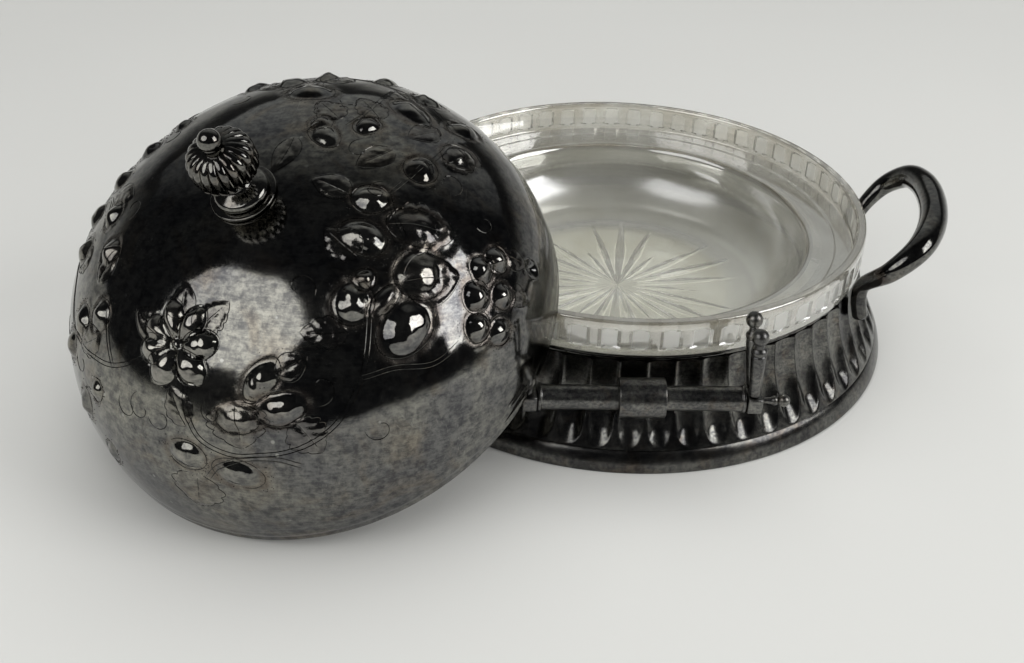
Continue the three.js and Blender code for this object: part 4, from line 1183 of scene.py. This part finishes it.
class Relief:
    """Height of the raised work over the dome, by azimuth and distance from the crown."""

    def __init__(self, azimuth, s):
        self.azimuth, self.s, self.r = azimuth, s, dome_at(s)[0]
        self.height, self.matting = np.zeros_like(s), np.zeros_like(s)
        for leaf in LEAVES:
            self.leaf(*leaf)
        for fruit in FRUITS:
            self.fruit(*fruit)
        for turn in PETALS:
            self.petal(*FLOWER, turn, 11.6, PETAL_WIDTH, 2.3)
        self.boss(*FLOWER, 3.4, 3.4, 1.3, 0)
        down, side = self.near(*DENT[:2])
        d = np.hypot(down / (DENT[2] / 2), side / (DENT[3] / 2))
        self.height -= 1.1 * hill(d, 0, 1) - 0.3 * hill(d, 1.5, 0.4)
        # hand work: slight dents everywhere, more of them on and round the raised fruit
        x, y = s * np.cos(azimuth), s * np.sin(azimuth)
        rng = np.random.default_rng(11)
        ground, raised = np.clip(self.matting * 1.5, 0, 1), np.clip(self.height / 0.9, 0, 1)
        for size, amount, where in (
            (22, 0.05, 1), (11, 0.022, 1), (5.2, 0.05, ground), (3.1, 0.03, ground),
            (4.3, 0.1, raised), (2.6, 0.05, raised),
        ):
            wave = np.zeros_like(s)
            for _ in range(5):
                a, phase = rng.uniform(0, 2 * math.pi, 2)
                wave += np.sin((x * math.cos(a) + y * math.sin(a)) * 2 * math.pi / size + phase)
            self.height += amount * wave / 2.2 * where
        # fine lines parallel to the rim
        for at, deep, wide in ((1.7, 0.22, 0.45), (4.6, 0.1, 0.4), (5.9, 0.08, 0.35)):
            self.height -= deep * hill(DOME_LENGTH - s, at, wide)

    def near(self, degrees, r, turn=0.0):
        """Local (along, aside) mm round a place."""
        swing = (self.azimuth - math.radians(degrees) + math.pi) % (2 * math.pi) - math.pi
        down, side = self.s - arc_of(r), swing * (self.r + r) / 2
        c, w = math.cos(math.radians(turn)), math.sin(math.radians(turn))
        return down * c + side * w, side * c - down * w

    def raise_to(self, height, inside):
        self.height = np.where(inside, np.maximum(self.height, height), self.height)

    def boss(self, degrees, r, length, width, rise, turn):
        """An oval bulge of slightly uneven outline; its size is the distance 1 that comes back."""
        along, aside = self.near(degrees, r, turn)
        d = np.hypot(along / (length / 2), aside / (width / 2))
        lean = np.arctan2(aside, along)
        d = d * (1 + 0.05 * np.sin(2 * lean + degrees) + 0.04 * np.sin(3 * lean + 2 * r))
        self.raise_to(0.88 * rise * np.clip(1 - d * d, 0, 1) ** 1.1, d < 1)
        return d

    def fruit(self, *boss):
        """A boss with a line round it and matt ground beyond that."""
        d = self.boss(*boss)
        self.height += 0.07 * hill(d, 1.4, 0.18) - 0.1 * hill(d, 1.12, 0.15)
        self.matting = np.maximum(self.matting, hill(d, 1.25, 0.25) * (d > 1.02))

    def petal(self, degrees, r, turn, reach, width, rise):
        """A bulb that starts near the flower's middle and runs out along its turn."""
        along, aside = self.near(degrees, r, turn)
        start = 1.2
        t = np.clip((along - start) / (reach - start), 0, 1)
        half = np.maximum(width / 2 * np.sin(math.pi * t**1.25) ** 0.55, 1e-3)
        d = np.abs(aside) / half
        swell = np.clip(1 - d * d, 0, 1) ** 0.6 * np.sin(math.pi * t**1.15) ** 0.6
        self.raise_to(swell * rise, (along > start) & (along < reach) & (d < 1))
        self.height -= 0.15 * hill(d, 1.15, 0.14) * ((along > 0) & (along < reach + 1.5))

    def leaf(self, degrees, r, turn, length, width, scallops):
        """A low leaf with a midrib and side veins pressed in."""
        along, aside = self.near(degrees, r, turn)
        half = np.maximum(leaf_half(np.clip(along / length, 0, 1), width, scallops), 1e-3)
        d = np.abs(aside) / half
        inside = (along > 0) & (along < length)
        sheet = 0.38 * eased(np.clip((1 - d) * half / 1.3, 0, 1))
        rib = 0.18 * hill(aside, 0, 0.45)
        veins = 0.1 * hill((along - np.abs(aside) * 0.9) % 2.6, 1.3, 0.4) * (d < 0.85)
        self.raise_to(sheet - rib - veins, inside)
        self.matting = np.where(inside & (d < 1), 0.35, self.matting)


def chased_paths():
    """Chased lines as paths of azimuths and arc lengths."""
    stem_half, near_rim = 0.55, 50  # mm, and mm a radian there
    paths = []
    t = np.linspace(0, 1, 26)
    for degrees, r, turn, length, width, scallops in LEAVES:
        fine = np.linspace(0, 1, 26 + 10 * scallops)
        half = leaf_half(fine, width * 1.06, scallops)
        for sign in (1, -1):
            paths.append(shift_from(degrees, r, fine * length, sign * half, turn))
        paths.append(shift_from(degrees, r, t * length * 0.85, 0.25 * np.sin(3 * t), turn))
    for k, (degrees, r, length, width, rise, turn) in enumerate(FRUITS):
        a = np.linspace(0.4, 5.6, 30) + k * 1.3
        along, aside = 0.6 * length * np.cos(a), 0.62 * width * np.sin(a)
        paths.append(shift_from(degrees, r, along, aside, turn))
    for turn in PETALS:
        half = 0.58 * PETAL_WIDTH * np.sin(math.pi * t**1.2) ** 0.6
        for sign in (1, -1):
            paths.append(shift_from(*FLOWER, 1 + t * 11.4, sign * half, turn))
    for stem in STEMS:
        # azimuths are drawn out to mm near the rim, so that the curve is even
        azimuths = np.unwrap(np.radians([a for a, _ in stem]))
        spots = [(a * near_rim, arc_of(r), 0) for a, (_, r) in zip(azimuths, stem)]
        curve = np.array([v[:] for v in centripetal(spots, 8)])
        run = np.gradient(curve[:, :2], axis=0)
        run /= np.maximum(np.linalg.norm(run, axis=1), 1e-6)[:, None]
        for sign in (1, -1):
            azimuth = (curve[:, 0] - sign * stem_half * run[:, 1]) / near_rim
            paths.append((azimuth, curve[:, 1] + sign * stem_half * run[:, 0]))
    for degrees, r, turn, size in TENDRILS:
        a = np.linspace(0, 4.6, 24)
        curl = size * (1 - a / 6.5)
        paths.append(shift_from(degrees, r, curl * np.sin(a), size - curl * np.cos(a), turn))
    return paths


def rim_fade(s):
    """The relief runs out just before the rim."""
    return np.clip((DOME_LENGTH - s) / 1.2, 0, 1)


class CHEESEDOME_OT_cover(bpy.types.Operator):
    """Domed cover with its raised fruit and flower."""

    bl_idname = "cheesedome.cover"
    bl_label = "Cover"

    def execute(self, context):
        factor = context.scene.cheese_dome_cover.relief
        fine = np.arange(12.8, DOME_LENGTH - 0.3, 0.56)
        stations = np.concatenate([np.linspace(BORE, 12, 10), fine, [DOME_LENGTH]])
        columns = [128 if s < 18 else 256 if s < 34 else 512 for s in stations]
        azimuths, arcs = np.concatenate([turns(n) for n in columns]), np.repeat(stations, columns)
        relief = Relief(azimuths, arcs)
        fade = rim_fade(arcs)
        height = relief.height * fade * factor
        rings = np.split(on_dome(azimuths, arcs, height), np.cumsum(columns)[:-1])
        rings.append(circle(DOME_RADIUS - DOME_WALL / 2, 0, 512))
        # the relief is pressed from inside, so it shows there too, with softer edges
        s, r, z = dome_curve(DOME_RADIUS - DOME_WALL, DOME_HEIGHT - DOME_WALL)
        count = 512
        for t in np.linspace(s[-1], BORE, 60):
            count = max(256 if t > 34 else 128, count // 2)
            azimuth, arc = turns(count), np.full(count, t * DOME_LENGTH / s[-1])
            press = np.clip(Relief(azimuth, arc).height, 0, None)
            press = press * 0.85 * min((s[-1] - t) / 3, 1) * factor
            out = on_dome(azimuth, arc, 1.0) - on_dome(azimuth, arc, 0.0)
            plain = circle(max(np.interp(t, s, r), BORE), np.interp(t, s, z), count)
            rings.append(plain + out * press[:, None])
        verts, faces = skin(rings, loop=True)
        mesh = mesh_of("cover", verts, faces)
        inside = np.zeros(len(verts) - len(height))
        set_values(mesh, "relief", np.concatenate([height, inside]))
        set_values(mesh, "matting", np.concatenate([relief.matting * fade, inside]))
        add_piece("cover", mesh, DOME_PLACE, "cover", ["dome_shell"], plate("dome_plate"), 55)
        return {"FINISHED"}


class CHEESEDOME_OT_chasing(bpy.types.Operator):
    """Chased outlines, veins, stems and punch marks on the cover."""

    bl_idname = "cheesedome.chasing"
    bl_label = "Chasing"

    def execute(self, context):
        factor = context.scene.cheese_dome_cover.relief
        look = plate("chased_line")
        paths = []
        for azimuth, s in chased_paths():
            points = self.sunk(azimuth, s, factor)
            if len(points) < 4:
                continue
            index = np.arange(len(points))
            thick = 0.15 * np.clip(0.4 + np.minimum(index, index[::-1]) / 4, 0, 1)
            paths.append(list(zip(points, thick)))
        mesh = bars_along(paths, look, 5)
        add_piece("chased_lines", mesh, DOME_PLACE, "cover", [], look)

        rng = np.random.default_rng(7)
        places = []
        for degrees, r, length, width, rise, turn in FRUITS + [(*FLOWER, 3, 3, 1, 0)]:
            a = rng.uniform(0, 2 * math.pi, 34)
            d = rng.uniform(1.12, 1.75, 34)
            along, aside = d * length / 2 * np.cos(a), d * width / 2 * np.sin(a)
            places.append(shift_from(degrees, r, along, aside, turn))
        points = self.sunk(*np.concatenate(places, 1), factor)
        dots = dots_at(points, 0.17, look)
        add_piece("punch_marks", dots, DOME_PLACE, "cover", [], look)
        return {"FINISHED"}

    def sunk(self, azimuth, s, factor):
        """Points a little below the relief, without those near the rim."""
        keep = s < DOME_LENGTH - 3.0
        azimuth, s = azimuth[keep], s[keep]
        return on_dome(azimuth, s, Relief(azimuth, s).height * rim_fade(s) * factor - 0.04)


class CHEESEDOME_OT_knob(bpy.types.Operator):
    """Knob: plate, flange, lobed melon and ball, with the stud, washer and nut inside."""

    bl_idname = "cheesedome.knob"
    bl_label = "Knob"

    def execute(self, context):
        under = softened([(BORE, 0.3), (9, 0.05), (9, 0.9), (BORE, 1.1)], 0.3)
        self.add("plate_under_knob", revolved(under, 96), "knob_plate")
        flange = [
            (BORE, 1.4), (7.3, 1.4), (7.5, 1.9), (7.4, 2.6), (6.9, 3.3), (4.7, 4.3), (3.7, 4.9),
            (3.2, 5.8), (3.2, 6.6), (4.1, 7.5), (BORE, 7.5),
        ]
        self.add("flange", revolved(softened(flange, 0.55), 96), "knob_flange")
        top = self.add_melon(context.scene.cheese_dome_cover.lobes)
        low, bore_top = top + 0.05, STUD_TOP + 0.4
        bore = [(0, bore_top), (BORE, bore_top), (BORE, low)]
        collar = [(2.5, low), (2.5, low + 0.35), (2.0, low + 0.6)]
        ball = bore + collar + ball_tip(3.08, 3.08, STUD_TOP, -0.75, 20)
        self.add("ball", revolved(ball, 56, False), "knob_ball")
        low = WASHER_TOP - 0.8
        washer = softened([(BORE, low), (6, low), (6, WASHER_TOP), (BORE, WASHER_TOP)], 0.2)
        self.add("washer", revolved(washer, 64), "knob_washer")
        low, high = WASHER_TOP - 3.9, WASHER_TOP - 1.1
        nut = softened([(BORE, low), (3.6, low), (4, low + 0.4), (4, high), (BORE, high)], 0.1)
        self.add("nut", revolved(nut, 6), "knob_nut", 20)
        stud = [(0, STUD_BOTTOM), (1.3, STUD_BOTTOM), (1.3, STUD_TOP), (0, STUD_TOP)]
        self.add("stud", revolved(softened(stud, 0.2, loop=False), 32, False), "knob_stud")
        return {"FINISHED"}

    def add(self, name, shape, node, sharp=60):
        add_piece(name, shape, CROWN_PLACE, "cover", [node], plate("knob_plate"), sharp)

    def add_melon(self, lobes):
        """The lobed melon, made as one lobe and copied round; returns the height of its top."""
        middle, half, radius = 13.8, 6.0, 9.0
        u = np.linspace(0, 1, 11)
        angle = u * 2 * math.pi / lobes
        rows = []
        for degrees in np.linspace(-74, 80, 30):
            a = math.radians(degrees)
            # the lobes fade out towards the collar
            lobe = 0.15 * min((80 - degrees) / 30, 1)
            round_lobe = 1 - lobe * (1 - np.sqrt(np.clip(1 - (2 * u - 1) ** 2, 0, 1)))
            r = radius * math.cos(a) ** (2 / 3) * round_lobe
            z = middle + half * math.copysign(abs(math.sin(a)) ** (2 / 3), a)
            rows.append(around(r, angle, z))
        bottom, top = rows[0][0][2], rows[-1][0][2]
        for r, z in ((2.6, top - 0.5), (BORE, top - 0.4), (BORE, bottom)):
            rows.append(around(r, angle, z))
        mesh = ring_of(mesh_of("lobe", *grid(rows)), lobes, plate("knob_plate"))
        self.add("melon", mesh, "knob_melon", 50)
        return top


OPERATORS = (
    CHEESEDOME_OT_stage,
    CHEESEDOME_OT_skirt,
    CHEESEDOME_OT_foot,
    CHEESEDOME_OT_handles,
    CHEESEDOME_OT_rest,
    CHEESEDOME_OT_liner,
    CHEESEDOME_OT_cover,
    CHEESEDOME_OT_chasing,
    CHEESEDOME_OT_knob,
)
GROUPS = {
    "cheese_dome_dish": CheeseDomeDish,
    "cheese_dome_cover": CheeseDomeCover,
    "cheese_dome_studio": CheeseDomeStudio,
}


class CHEESEDOME_PT_panel(bpy.types.Panel):
    """Lists the steps that dress the cheese dome."""

    bl_idname = "CHEESEDOME_PT_panel"
    bl_label = "Cheese Dome"
    bl_space_type = "VIEW_3D"
    bl_region_type = "UI"
    bl_category = "Cheese Dome"

    def draw(self, context):
        for name in GROUPS:
            group = getattr(context.scene, name)
            for setting in group.__annotations__:
                self.layout.prop(group, setting)
        for operator in OPERATORS:
            self.layout.operator(operator.bl_idname)


def register():
    for cls in (*GROUPS.values(), *OPERATORS, CHEESEDOME_PT_panel):
        bpy.utils.register_class(cls)
    for name, group in GROUPS.items():
        setattr(bpy.types.Scene, name, bpy.props.PointerProperty(type=group))


def unregister():
    for name in GROUPS:
        delattr(bpy.types.Scene, name)
    for cls in (CHEESEDOME_PT_panel, *reversed(OPERATORS), *GROUPS.values()):
        bpy.utils.unregister_class(cls)


def main():
    register()
    for operator in OPERATORS:
        module, name = operator.bl_idname.split(".")
        getattr(getattr(bpy.ops, module), name)()


if __name__ == "__main__":
    main()
